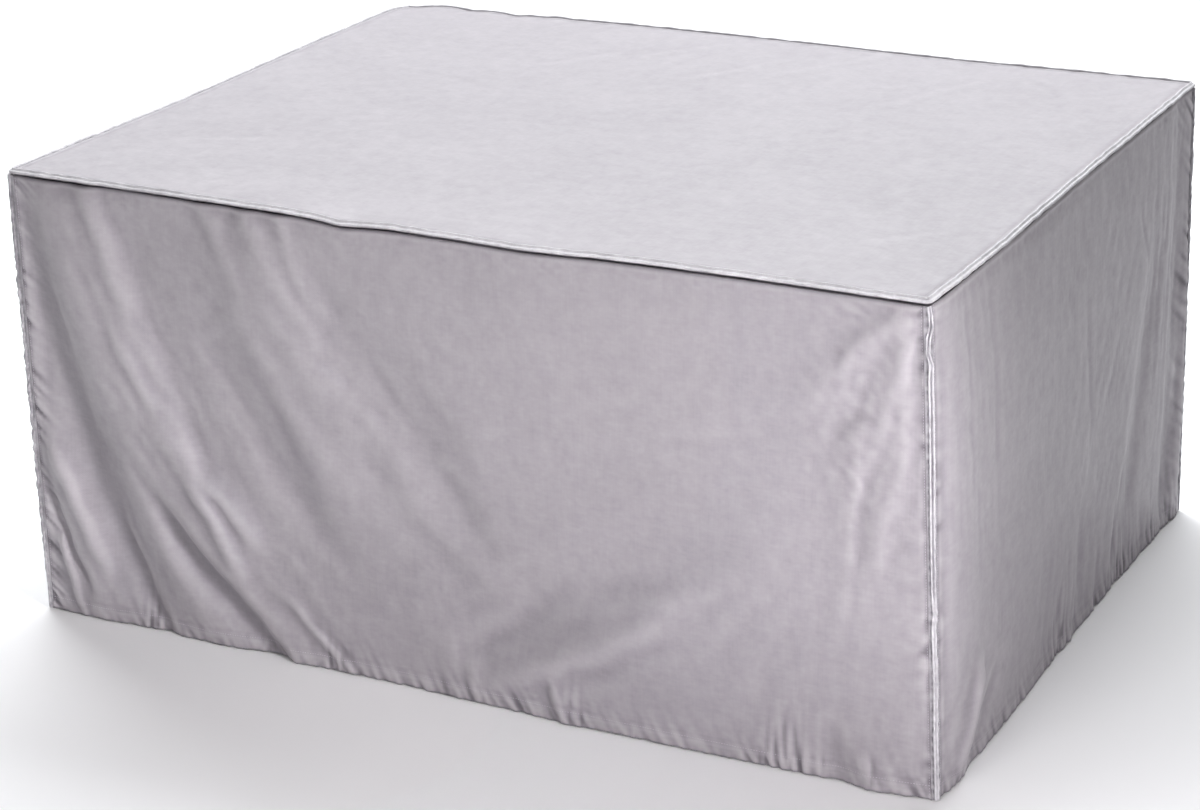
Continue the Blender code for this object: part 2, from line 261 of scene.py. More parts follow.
# On the top, down runs from the back rim to the front one.
TOP_CREASES = table(Crease, [
    (420, 340, 580, 130, 0, 12, 12, 1.2),
    (500, 260, 600, 80, 0, 10, 10, -1),
    (560, 220, 680, 50, 0, 10, 10, 1.2),
    (640, 280, 690, 60, 0, 12, 10, -0.9),
    (700, 330, 830, 100, 0, 12, 12, 1.1),
    (820, 240, 930, 60, 0, 10, 10, 1),
    (1060, 380, 1180, 80, 0, 14, 14, 1),
    (1220, 60, 1330, 160, 0, 12, 12, -1),
    (320, 420, 470, 480, 0, 12, 12, -0.8),
    (100, 950, 300, 860, 0, 12, 14, 0.8),
    (1290, 1020, 1440, 860, 0, 12, 12, 1),
])

# Pulls are faint wrinkles side by side: the middle of the place that they cover and its reach
# both ways, their heading in degrees from straight down, counted towards the right, how far apart
# and how long they are, and how high.
Pulls = namedtuple("Pulls", "across down reach_across reach_down heading spacing length rise")
FRONT_PULLS = table(Pulls, [
    (150, 170, 110, 180, 24, 21, 110, 1.1),
    (420, 70, 160, 100, 38, 30, 100, 1),
    (280, 400, 140, 160, 36, 22, 110, 1.3),
    (580, 330, 230, 170, 48, 34, 160, 1.3),
    (420, 640, 170, 110, 44, 24, 110, 1.2),
    (130, 620, 120, 120, 24, 22, 90, 1.3),
    (950, 590, 220, 130, -62, 34, 150, 1.2),
    (1300, 600, 180, 160, -30, 34, 120, 0.7),
    (1420, 180, 90, 220, -20, 17, 90, 0.6),
    (1395, 170, 60, 150, 62, 13, 32, 1.6),
    (1465, 300, 30, 300, 80, 16, 30, 1),
    (1120, 240, 240, 130, -80, 28, 90, 0.6),
], "heading")
RIGHT_PULLS = table(Pulls, [
    (140, 250, 120, 300, 2, 21, 120, 0.6),
    (100, 660, 120, 80, -42, 22, 80, 1.4),
    (780, 400, 220, 220, -34, 26, 110, 1),
    (1060, 300, 110, 320, -8, 20, 120, 1.2),
    (550, 660, 300, 90, -6, 28, 90, 1.1),
], "heading")
BACK_PULLS = table(Pulls, [
    (250, 300, 250, 260, 25, 28, 120, 1),
    (1200, 350, 280, 300, -25, 28, 120, 1),
    (750, 620, 400, 120, 5, 28, 90, 0.9),
], "heading")
LEFT_PULLS = table(Pulls, [
    (250, 300, 250, 260, 25, 28, 120, 1),
    (950, 350, 250, 300, -25, 28, 120, 1),
    (600, 620, 350, 120, 0, 28, 90, 0.9),
], "heading")

# A billow is a broad swelling of a skirt about one place, or a hollow where its rise is negative.
Billow = namedtuple("Billow", "across down reach rise")
FRONT_BILLOWS = table(Billow, [(1080, 780, 330, 8.5), (1440, 760, 55, 8)])
RIGHT_BILLOWS = table(Billow, [(720, 780, 280, -5)])
BACK_BILLOWS = table(Billow, [(420, 760, 300, 6), (1000, 600, 260, -4)])
LEFT_BILLOWS = table(Billow, [(700, 740, 300, 6)])

# Where the top and its rim have nothing close under them, they sag: where, how far, how wide.
Dip = namedtuple("Dip", "x y depth reach")
DIPS = table(Dip, [
    (-745, 610, 10, 55),
    (-155, -600, 4.5, 50),
    (30, -600, 5, 340),
    (150, -600, 3, 80),
    (750, -350, 5.5, 220),
    (-750, -150, 4, 280),
    (-480, 600, 3, 120),
    (330, 600, 2.5, 200),
])
# Dips too narrow for the solids.
NARROW_DIPS = table(Dip, [
    (-155, -600, 1.2, 18),
    (-610, 600, 3.5, 30),
    (-520, 600, 3, 22),
    (-430, 600, -2, 20),
])

# Puckers stand along a seam: how far apart, how high, how far they reach from the seam, and how
# far they lean along it for each metre that they run from it.
Pucker = namedtuple("Pucker", "spacing rise reach lean")
Seams = namedtuple("Seams", "top bottom left right")

FRONT_SEAMS = Seams(*table(Pucker, [
    (15, 0.45, 20, 0.4),
    (11, 3, 22, 0.5),
    (10.5, 4, 17, -0.8),
    (13, 3.6, 11, -0.4),
], "lean"))
RIGHT_SEAMS = Seams(*table(Pucker, [
    (14, 0.4, 20, 0.3),
    (11, 3, 22, 0.3),
    (14, 2.4, 12, 0),
    (13, 3.4, 30, 0.8),
], "lean"))
FAR_SEAMS = Seams(*table(Pucker, [
    (15, 0.5, 20, 0.3),
    (12, 0.85, 18, 0.3),
    (13, 1, 18, 0.6),
    (13, 1, 18, 0.6),
], "lean"))
TOP_SEAMS = Seams(*table(Pucker, [
    (20, 1.8, 30, 0.3),
    (16, 0.4, 18, 0.3),
    (16, 0.5, 18, 0.3),
    (16, 0.6, 22, 0.3),
], "lean"))

# A gather is a knot of tight puckers at the hem: where, how wide, how high, how much stronger.
Gather = namedtuple("Gather", "across width height strength")
FRONT_GATHERS = table(Gather, [
    (200, 22, 40, 1.8),
    (418, 20, 30, 1.6),
    (545, 30, 35, 1.8),
    (798, 14, 30, 1.5),
    (960, 20, 40, 1.2),
    (1062, 14, 25, 1.2),
    (1300, 45, 45, 2.4),
    (1433, 18, 30, 1.4),
], "strength")
RIGHT_GATHERS = table(Gather, [
    (520, 60, 60, 1.4),
    (830, 60, 60, 1.6),
    (1000, 50, 40, 1.4),
    (1110, 60, 45, 2),
], "strength")
FAR_GATHERS = table(Gather, [(300, 40, 40, 1.4), (820, 50, 40, 1.4)], "strength")

# A skirt faces -Y until it is turned about Z. Its steps, across and down, are the widest between
# its grid points.
Skirt = namedtuple("Skirt", "name turn folds creases pulls billows seams gathers steps seed")
FINE_STEPS, PLAIN_STEPS = (0.0031, 0.0054), (0.0045, 0.0080)
SKIRTS = [
    Skirt(
        "front_panel", 0, FRONT_FOLDS, FRONT_CREASES, FRONT_PULLS,
        FRONT_BILLOWS, FRONT_SEAMS, FRONT_GATHERS, FINE_STEPS, 11,
    ),
    Skirt(
        "right_panel", 90, RIGHT_FOLDS, RIGHT_CREASES, RIGHT_PULLS,
        RIGHT_BILLOWS, RIGHT_SEAMS, RIGHT_GATHERS, FINE_STEPS, 23,
    ),
    Skirt(
        "back_panel", 180, BACK_FOLDS, BACK_CREASES, BACK_PULLS,
        BACK_BILLOWS, FAR_SEAMS, FAR_GATHERS, PLAIN_STEPS, 37,
    ),
    Skirt(
        "left_panel", 270, LEFT_FOLDS, LEFT_CREASES, LEFT_PULLS,
        LEFT_BILLOWS, FAR_SEAMS, FAR_GATHERS, PLAIN_STEPS, 41,
    ),
]
TOP_STEP = 0.0060
TOP_SEED = 53
# At a sheet's edges its grid is closer: the closest step, and how far it lasts.
SIDE_EDGE, RIM_EDGE, HEM_EDGE = (0.0022, 0.015), (0.0020, 0.020), (0.0019, 0.030)
TOP_EDGE, TOP_BACK_EDGE = (0.0026, 0.020), (0.0026, 0.030)

LATTICE = 97  # random heights repeat after this many humps
LATTICE_GAIN = 1.6  # brings them to about -1 to 1

# ---------------------------------------------------------------- wear, painted highlights and painted shade
RIDGE_BEND = 22.0  # the curvature, in radians a metre, at which a ridge gets its full painted highlight and some wear, and a trough its full painted shade
TUCK = 0.0009  # the height of a pucker whose crest gets the full painted highlight and wear, and whose trough the full painted shade
TUCK_WEAR_AND_HIGHLIGHT = 1.2  # how much more strongly a pucker is painted light on its crest and dark in its trough than a crease is: painted highlight and shade with some wear
TUCK_SHADE = 0.6  # how dark the painted shade is between puckers that are deep enough
# Painted shade darkens the cloth beside its seams, under the rim and along the hem: how dark at the
# seam, and how far it reaches.
PaintedShade = namedtuple("PaintedShade", "tone reach")
RIM_SHADE, FAR_RIM_SHADE = PaintedShade(1.0, 0.0030), PaintedShade(0.35, 0.0030)
SIDE_SHADE, HEM_SHADE, TOP_SHADE = PaintedShade(0.5, 0.0025), PaintedShade(0.75, 0.0022), PaintedShade(0.12, 0.0015)
BARE_SEAM_LEVEL = -0.8  # a corner seam's level where it gets neither wear nor painted highlight, near the panels' tone
FLANGE_SHADE = [0.0, 0.0, 0.0, 0.1, 0.4]  # how dark its flange is painted with painted shade, from its edge to the bead

CLOTH_MAP = "cloth"  # the UV map, in metres across and down a panel
COATING_PATTERNS = [  # millimetres across, millimetres down, weight in the tone
    (170, 130, 0.50),  # how thickly the blade spread the coating
    (30, 22, 0.50),  # mottling of the dried coating
    (11, 8, 0.50),  # and its finer specks
    (3.0, 60, 0.28),  # upright slubs: really 0.5 mm wide, drawn coarse enough to show
    (50, 3.0, 0.20),  # level slubs
]
WEAVE_PITCH = 1.6  # millimetres: the real threads are 0.4 mm apart, too fine to show
BACK_YARN = (3.0, 60)  # millimetres across and down: the bare back's yarns, drawn coarse as well
THREAD_TWIST = 1.5  # millimetres: really about 0.7 mm, drawn coarse enough to show
COATING_RELIEF = 0.00022  # how high the mottling and the weave stand, in metres
# the colour of the painted shade in the seams, under the rim, along the hem and between puckers
SEAM_SHADE_COLOUR = "#4A464C"

# ---------------------------------------------------------------- stitches and welts
STITCH_PITCH = 0.0042
STITCH_LENGTH = 0.0032
THREAD = 0.0008  # the sewing thread's width
THREAD_PROUD = 0.15 * THREAD  # its middle line lies this far over the cloth's face
TOP_STITCH_INSET = 0.0125  # from the skirts' plane to the row on the top panel
TOP_ROW_BEND = 0.006  # radius of that row's corners
SEAM_STITCH_INSET = 0.0040  # from a skirt's edge to the row beside a corner welt
HEM_STITCH_RISE = 0.0210  # from the hem's edge to its row
HEM_ROW_END = 0.005  # the hem's row ends this far from the skirt's sides
ROW_END = 0.004  # and a side's row this far from its top and its hem
ROW_STEP = 0.0020  # between the points of a row's path
STITCH_GROOVE = 0.0005  # a row of stitches draws the cloth in this far
STITCH_GROOVE_WIDTH = 0.0022

STATION = 0.0030  # between sections along a welt
# The top welt's section, out and up: a rolled edge, a flange on the top, a neck below.
ROLL_RADIUS = 0.0027
WELT_ROLL = (0.0017, 0.0006)  # the roll's middle
WELT_FLANGE = [(-0.0022, 0.0029), (-0.0050, 0.0026), (-0.0054, 0.0023), (-0.0044, 0.0021)]
WELT_NECK = [(-0.0040, -0.0006), (-0.0030, -0.0050), (-0.0008, -0.0054), (-0.0004, -0.0026)]
RIM_WAVER = 0.0009  # how far it wavers out and up
RIM_WAVER_SPACINGS = (0.022, 0.017)
RIM_WAVER_FADE = 0.03  # it runs true over this length at each corner

# A corner welt's section is a bead between two flat parts, which lap over the skirts' edges.
ROLL_MIDDLE = -0.0032  # the bead's middle, in from both skirts' planes
ROLL_SIZE = 0.0044  # from there to its surface
LIP_RISE = 0.0011
VALLEY_DEPTH = 0.0026
BEAD_ANGLES = np.linspace(-80, 80, 19)  # round the bead, in degrees
LIPS = np.exp(-(((abs(BEAD_ANGLES) - 44) / 17) ** 2))
VALLEY = np.exp(-((BEAD_ANGLES / 20) ** 2))
SEAM_FLANGE = [  # out from its skirt's plane, and out from the other skirt's
    (-0.0016, -0.0080),
    (0.00020, -0.0082),
    (0.00020, -0.0094),
    (0.00045, -0.0094),
    (0.00050, -0.0072),
]
SEAM_INSIDE = (-0.0062, -0.0062)  # the section's inner corner

# A corner welt is two rolled lips with a valley between, which close to one roll here and there.
# Down from the top: the valley's depth, the lean of the whole roll in degrees, its size, how far
# it strays to the right seen from outside, the height of its puckers, and how light its crest is
# painted, a painted highlight with some wear.
Roll = namedtuple("Roll", "down valley lean size stray puckers worn")
FRONT_RIGHT_ROLL = table(Roll, [
    (0, 0.9, -50, 0.8, -1.6, 0.8, -0.2),
    (18, 1, -30, 0.84, 0.2, 1, 0.3),
    (36, 1, 10, 0.76, 1.8, 1, -0.2),
    (54, 0.9, 44, 0.74, -0.6, 1, 0.2),
    (72, 0.6, 20, 0.82, -2, 0.9, -0.4),
    (90, 0.9, -26, 0.9, 0.8, 0.8, 0.1),
    (108, 1, -4, 0.98, 0.2, 0.6, 0.3),
    (180, 1, 4, 0.96, 0.6, 0.6, -0.1),
    (250, 1.1, 3, 1, 0.2, 0.5, 0.3),
    (330, 0.9, -4, 0.96, -0.5, 0.6, 0),
    (420, 0.9, -6, 0.94, -0.4, 0.7, 0.2),
    (455, 0.3, 14, 0.98, 1, 1, -0.2),
    (480, 0.6, -10, 0.94, -0.8, 1, 0.4),
    (560, 0.5, 8, 0.96, 0.6, 1, 0.1),
    (640, 0.6, -8, 0.94, -0.5, 1, 0.3),
    (745, 0.3, 0, 0.98, 0, 0.8, 0),
], "valley lean size worn")
FRONT_LEFT_ROLL = table(Roll, [
    (0, 0.2, 0, 1.25, -3, 0.8, -0.5),
    (90, 0.35, 8, 1.45, -3, 1.4, -0.7),
    (200, 0.2, -6, 1.4, -2.6, 2.4, -0.4),
    (300, 0.4, 6, 1.35, -2.2, 2.2, -0.6),
    (420, 0.15, -4, 1.3, -1.6, 2.6, -0.7),
    (560, 0.15, 4, 1.25, -1.2, 2.6, -0.7),
    (745, 0.2, 0, 1.05, 0, 1, -0.6),
], "valley lean size worn")
BACK_RIGHT_ROLL = table(Roll, [
    (0, 0.3, 0, 1, 0, 0.8, 0.4),
    (120, 0.6, 6, 1.15, 0.6, 1.4, 0.9),
    (300, 0.3, -6, 1.2, -0.4, 1.6, 0.7),
    (480, 0.6, 6, 1.1, 0.4, 1.4, 0.8),
    (745, 0.3, 0, 1, 0, 0.8, 0.2),
], "valley lean size worn")
PLAIN_ROLL = table(Roll, [
    (0, 0.4, 0, 0.9, 0, 0.6, 0),
    (160, 0.8, 5, 0.95, 0.4, 0.7, 0.3),
    (350, 0.3, -6, 1, -0.4, 1, 0),
    (520, 0.7, 6, 0.96, 0.4, 0.8, 0.3),
    (745, 0.3, 0, 0.96, 0, 0.6, 0),
], "valley lean size worn")
# The corners: which side of the cover each is on, its roll's table and its seed.
CORNERS = [
    ("front_left", -1, -1, FRONT_LEFT_ROLL, 71),
    ("front_right", 1, -1, FRONT_RIGHT_ROLL, 73),
    ("back_left", -1, 1, PLAIN_ROLL, 79),
    ("back_right", 1, 1, BACK_RIGHT_ROLL, 83),
]

# ---------------------------------------------------------------- camera and studio
# The camera stands to the front right of the cover, above it, a little off level.
CAMERA_AZIMUTH = 27.52
CAMERA_ELEVATION = 21.00
CAMERA_ROLL = -1.15
CAMERA_DISTANCE = 4.885
CAMERA_TARGET = Vector((-0.052, 0.0, -0.482))
CAMERA_LENS = 88.8  # millimetres, on a sensor 36 mm wide

# A softbox with a grid before it fans its light out over the given degrees only.
Softbox = namedtuple("Softbox", "name place aim size fan watts tint")
SOFTBOXES = [
    Softbox("back_overhead", (0.0, 2.5, 3.0), (0.0, 0.0, 0.0), 3.0, 180, 204.0, "#FBFEFF"),
    Softbox("back_left", (-4.0, 3.0, 5.0), (0.0, 0.0, -0.2), 4.0, 180, 440.0, "#FBFEFF"),
    Softbox("front_high", (0.3, -4.5, 3.0), (0.0, -0.6, -0.4), 2.0, 180, 55.0, "#FFFEFE"),
    Softbox("front_low", (0.0, -5.0, -0.2), (0.0, -0.6, -0.5), 1.5, 180, 23.0, "#FFFEFE"),
    Softbox("raking", (2.2, -1.6, 0.3), (-0.6, -0.6, -0.4), 0.5, 40, 4.1, "#FFFDFE"),
    Softbox("back_low", (1.4, 5.0, 0.6), (0.5, 0.6, -0.3), 2.0, 180, 28.0, "#FFFCFE"),
    Softbox("near_corner", (1.3, -1.25, -0.34), (0.78, -0.55, -0.46), 0.4, 180, 7.0, "#FFFCFE"),
]
AMBIENT = 0.055
AMBIENT_TINT = "#FFF4FA"
FLOOR_REACH = 20.0


# ---------------------------------------------------------------- the hang of the cloth
def eased(share):
    """0 to 1 with soft ends, for shares that may run past them."""
    share = np.clip(share, 0.0, 1.0)
    return share * share * (3 - 2 * share)


def uneven(u, v, seed):
    """Smooth random heights of about -1 to 1, one hump to a unit, the same at each run."""
    angles = np.random.default_rng(seed).uniform(0, 2 * math.pi, (LATTICE, LATTICE))
    cell_u, cell_v = np.floor(u).astype(int), np.floor(v).astype(int)
    total = np.zeros(np.broadcast(u, v).shape)
    for step_u in (0, 1):
        for step_v in (0, 1):
            angle = angles[(cell_u + step_u) % LATTICE, (cell_v + step_v) % LATTICE]
            near_u, near_v = u - cell_u - step_u, v - cell_v - step_v
            share = (1 - eased(abs(near_u))) * (1 - eased(abs(near_v)))
            total += share * (np.cos(angle) * near_u + np.sin(angle) * near_v)
    return LATTICE_GAIN * total


def crease_lift(creases, across, down):
    """How far a panel's creases lift it at each place."""
    total = np.zeros(across.shape)
    for crease in creases:
        run_across = crease.to_across - crease.across
        run_down = crease.to_down - crease.down
        run = math.hypot(run_across, run_down)
        from_across, from_down = across - crease.across, down - crease.down
        along = (from_across * run_across + from_down * run_down) / run**2
        aside = (from_across * run_down - from_down * run_across) / run
        aside = aside - crease.bow * 4 * along * (1 - along)
        flank = np.where(aside > 0, crease.left_flank, crease.right_flank)
        ends = eased(along / FOLD_END) * eased((1 - along) / FOLD_END)
        total += crease.rise * ends * np.exp(-((aside / flank) ** 2))
    return total


def bell(across, down, reach):
    """1 at a place, dying away over a reach round it."""
    return np.exp(-(across**2 + down**2) / reach**2)


def rim_drop(x, y):
    """How far the top sags at a place on it or on its rim."""
    return sum(dip.depth * bell(x - dip.x, y - dip.y, dip.reach) for dip in DIPS + NARROW_DIPS)


def half_sizes(down, turn):
    """Half the hanging cover's size across a skirt, and out to its face, at a level."""
    share = down / DROP
    halves = LENGTH / 2 + HEM_OUT * share, WIDTH / 2 - HEM_IN * share
    return halves if turn % 180 == 0 else halves[::-1]


def turned(x, y, turn):
    """A place in a skirt's own plan, as it lies in the cover's."""
    c, s = math.cos(math.radians(turn)), math.sin(math.radians(turn))
    return x * c - y * s, x * s + y * c


def seam_puckers(pucker, along, away, seed):
    """The puckers beside one seam, for places along it and away from it."""
    u = (along + pucker.lean * away) / pucker.spacing
    v = away / pucker.reach
    height = 0.8 * uneven(u, 0.4 * v, seed) + 0.5 * uneven(0.55 * u, 0.3 * v, seed + 1)
    patchy = 0.65 + 0.6 * uneven(along / PUCKER_PATCH, 0.3 * v, seed + 2)
    fade = np.clip(patchy, 0.1, 1.4) * np.exp(-v) * eased(away / PUCKER_START)
    return pucker.rise * height * fade


def puckers(seams, across, down, width, height, seed):
    """The puckers beside all four seams of a panel."""
    return (
        seam_puckers(seams.top, across, down, seed)
        + seam_puckers(seams.bottom, across, height - down, seed + 3)
        + seam_puckers(seams.left, down, across, seed + 6)
        + seam_puckers(seams.right, down, width - across, seed + 9)
    )


def gather_puckers(gathers, across, up, seed):
    """Tight, upright puckers where the hem is gathered; up is from the hem's edge."""
    tight = GATHER_RISE * uneven(across / GATHER_SPACING, up / GATHER_LENGTH, seed)
    total = np.zeros(across.shape)
    for gather in gathers:
        near = np.exp(-(((across - gather.across) / gather.width) ** 2))
        total += near * np.exp(-up / gather.height) * gather.strength * tight
    return total


def skirt_puckers(skirt, across, down, width):
    """A skirt's puckers along its seams, with those of its gathers."""
    along_seams = puckers(skirt.seams, across, down - SKIRT_TOP, width, DROP, skirt.seed)
    return along_seams + gather_puckers(skirt.gathers, across, DROP - down, skirt.seed + 40)


def crinkles(across, down, seed):
    """The cloth's own random crinkles, in two sizes, patchy."""
    fine = uneven(across / CRINKLE_SPACING * 2.6, down / CRINKLE_SPACING * 2.2, seed + 20)
    broad = uneven(across / CRINKLE_SPACING, down / CRINKLE_SPACING * 0.8, seed + 21)
    patchy = 0.6 + 0.8 * uneven(across / CRINKLE_PATCH[0], down / CRINKLE_PATCH[1], seed + 22)
    return CRINKLE * (broad + 0.45 * (1 - 2 * abs(fine)) * np.clip(patchy, 0, 1.5))


def pulled(pulls, across, down, seed):
    """The faint wrinkles, side by side, where the cloth is pulled."""
    total = np.zeros(across.shape)
    for k, pull in enumerate(pulls):
        heading = math.radians(pull.heading)
        away, below = across - pull.across, down - pull.down
        along = below * math.cos(heading) + away * math.sin(heading)
        aside = away * math.cos(heading) - below * math.sin(heading)
        window = np.exp(-((away / pull.reach_across) ** 2) - (below / pull.reach_down) ** 2)
        total += pull.rise * window * uneven(aside / pull.spacing, along / pull.length, seed + k)
    return total


def strayed(across, down, seed):
    """Places moved a little at random, so that drawn creases wander."""
    u, v = across / WANDER_SPACING, down / WANDER_SPACING
    return across + WANDER * uneven(u, v, seed + 30), down + WANDER * uneven(u, v, seed + 31)


def stitch_groove(away):
    """How far a row of stitches draws the cloth in, for places away from the row."""
    return -STITCH_GROOVE * np.exp(-((away / STITCH_GROOVE_WIDTH) ** 2))


def skirt_lift(skirt, across, down, width):
    """How far a skirt's outer face stands out of its plane: its hang, and its face's relief."""
    edge = np.minimum(across, width - across)
    seams = eased(down / TOP_FADE) * eased(across / SIDE_FADE) * eased((width - across) / SIDE_FADE)
    near = eased(down / CREASE_TOP_FADE) * eased(edge / CREASE_FADE)
    held = 1 - (1 - HEM_HOLD) * eased((down - DROP + HEM_HOLD_HEIGHT) / HEM_HOLD_HEIGHT)
    folds = crease_lift(skirt.folds, across, down)
    swell = sum(b.rise * bell(across - b.across, down - b.down, b.reach) for b in skirt.billows)
    place = strayed(across, down, skirt.seed)
    drawn = crease_lift(skirt.creases, *place) + pulled(skirt.pulls, *place, skirt.seed + 100)
    hang = seams * (held * folds + swell) + near * drawn
    relief = near * crinkles(across, down, skirt.seed)
    relief += skirt_puckers(skirt, across, down, width)
    relief += stitch_groove(down - DROP + HEM_STITCH_RISE)
    relief += stitch_groove(edge - SEAM_STITCH_INSET)
    relief += LAYER_STEP * eased((down - DROP + HEM_DEPTH) / LAYER_SLOPE)
    relief -= TUCK_IN * (1 - eased((down - SKIRT_TOP) / TUCK_IN_HEIGHT))
    return hang, relief


def skirt_places(skirt, side, down, outwards=0.0, relief_share=1.0):
    """Places on a skirt's face, for shares across it from -1 to 1 and ways down it.

    Gives x, y, z, the way across, and how far the face is lifted out of its plane."""
    rim_half, rim_out = half_sizes(0, skirt.turn)
    rim_place = turned((rim_half - SKIRT_MARGIN) * side, -rim_out, skirt.turn)
    level = down + rim_drop(*rim_place) * (1 - eased(down / RIM_FADE))
    half_across, half_out = half_sizes(level, skirt.turn)
    half_across = half_across - SKIRT_MARGIN
    across = half_across * (1 + side)
    hang, relief = skirt_lift(skirt, across, down, 2 * half_across)
    out = half_out + hang + relief_share * relief + outwards
    x, y = turned(half_across * side, -out, skirt.turn)
    return x, y, -level, across, hang + relief


def top_height(x, y):
    """The top panel's upper face at each place, and its fine relief."""
    half_x, half_y = LENGTH / 2 - TOP_MARGIN, WIDTH / 2 - TOP_MARGIN
    across, down = x + half_x, half_y - y
    inset = np.minimum(LENGTH / 2 - abs(x), WIDTH / 2 - abs(y))
    near = eased((inset - TOP_MARGIN) / CREASE_FADE)
    fine = near * crease_lift(TOP_CREASES, *strayed(across, down, TOP_SEED))
    fine += near * crinkles(across, down, TOP_SEED)
    fine += puckers(TOP_SEAMS, across, down, 2 * half_x, 2 * half_y, TOP_SEED)
    fine += LAYER_STEP * (1 - eased((inset - TOP_STITCH_INSET) / LAYER_SLOPE))
    fine += stitch_groove(inset - TOP_STITCH_INSET)
    return CLOTH - rim_drop(x, y) + fine, fine


# ---------------------------------------------------------------- meshes
def graded(length, start, end, step):
    """Places from 0 to a length, close together near each end and a step apart between.

    start and end give the closest step there and how far it lasts. There is an even number of
    spaces, so that every second place makes a coarser row."""
    places = [0.0]
    while places[-1] < length:
        sizes = [
            closest + (step - closest) * float(eased((away - reach) / reach))
            for (closest, reach), away in ((start, places[-1]), (end, length - places[-1]))
        ]
        places.append(places[-1] + min(sizes))
    places = np.array(places if len(places) % 2 else places[:-1])
    return places * (length / places[-1])


def linked_object(name, mesh):
    """An object with its data, in the scene."""
    made = bpy.data.objects.new(name, mesh)
    bpy.context.scene.collection.objects.link(made)
    return made


def quads(first, rows, columns, facing):
    """The faces of a grid of points whose numbers start at first, facing one way or the other."""
    row, column = np.meshgrid(np.arange(rows - 1), np.arange(columns - 1), indexing="ij")
    corner = first + row * columns + column
    ring = [corner, corner + columns, corner + columns + 1, corner + 1]
    return np.stack(ring[:: 1 if facing else -1], axis=-1).reshape(-1, 4)


def border(first, rows, columns):
    """The numbers of a grid's border points, down the left side, along the bottom and back."""
    number = first + np.arange(rows * columns).reshape(rows, columns)
    return np.concatenate([number[:-1, 0], number[-1, :-1], number[:0:-1, -1], number[0, :0:-1]])


def shaded(mesh, sharp_degrees):
    """Smooth shading, but for edges sharper than an angle."""
    mesh.shade_smooth()
    mesh.set_sharp_from_angle(angle=math.radians(sharp_degrees))


def set_wear_and_shading(mesh, worn, shade):
    """The attributes that the coated cloth reads: how far it is lightened, a painted highlight with
    some wear, and how far it is darkened with painted shade.
    """
    for label, values in (("worn", worn), ("shade", shade)):
        attribute = mesh.attributes.new(label, "FLOAT", "POINT")
        attribute.data.foreach_set("value", np.asarray(values, np.float32))


def curvature(relief, downs, acrosses):
    """How strongly a relief is a ridge (up to 1) or a trough (down to -1) at each place."""
    bend = np.gradient(np.gradient(relief, downs, axis=0), downs, axis=0)
    bend += np.gradient(np.gradient(relief, acrosses, axis=1), acrosses, axis=1)
    for axis in (0, 0, 1, 1):
        bend = 0.5 * bend + 0.25 * (np.roll(bend, 1, axis) + np.roll(bend, -1, axis))
    return np.tanh(-bend / RIDGE_BEND)


def seam_shade(dust, away):
    """How dark the cloth is painted with painted shade, for places away from a seam."""
    return dust.tone * np.exp(-np.maximum(away, 0) / dust.reach)


def panel_piece(name, outer, inner, across, down, wear_and_shading, cloths):
    """A closed sheet between a fine outer grid and an inner one of half its rows and columns.

    across and down are the outer grid's places on the flat cloth, for the weave. The pair after
    them says how far the outer face is lightened, a painted highlight with some wear, and how far
    it is darkened with painted shade. cloths are its face's and its back's material."""
    grid, inner_grid = outer.shape[:2], inner.shape[:2]
    count, inner_count = math.prod(grid), math.prod(inner_grid)
    faces = quads(0, *grid, True).tolist()
    outside = len(faces)
    faces += quads(count, *inner_grid, False).tolist()
    inside = len(faces) - outside
    near, far = border(0, *grid), border(count, *inner_grid)
    for k, start in enumerate(far):
        end = far[(k + 1) % len(far)]
        one, two, three = (near[(2 * k + step) % len(near)] for step in range(3))
        faces += [[two, one, start], [two, start, end], [three, two, end]]
    mesh = bpy.data.meshes.new(name)
    points = np.concatenate([outer.reshape(-1, 3), inner.reshape(-1, 3)])
    mesh.from_pydata(points.tolist(), [], faces)
    for cloth in cloths:
        mesh.materials.append(cloth)
    slots = np.zeros(len(faces), int)
    slots[outside : outside + inside] = 1
    mesh.polygons.foreach_set("material_index", slots)

    corners = np.zeros(len(mesh.loops), int)
    mesh.loops.foreach_get("vertex_index", corners)
    places = np.stack([across, -down], axis=-1)
    flat = np.concatenate([places.reshape(-1, 2), places[::2, ::2].reshape(-1, 2)])
    layer = mesh.uv_layers.new(name=CLOTH_MAP)
    layer.data.foreach_set("uv", flat[corners].ravel().astype(np.float32))
    set_wear_and_shading(mesh, *(np.append(values, np.zeros(inner_count)) for values in wear_and_shading))
    mesh.validate()
    shaded(mesh, 50)
    return linked_object(name, mesh)


def hem_waver(skirt, across, down):
    """How far the hem's edge dips, unevenly, close to the floor."""
    drop = sum(
        height * uneven(across / spacing, across * 0 + 0.5 * k, skirt.seed + 50 + k)
        for k, (height, spacing) in enumerate(HEM_WAVERS)
    )
    return drop * eased((down - DROP + HEM_WAVER_HEIGHT) / HEM_WAVER_HEIGHT)


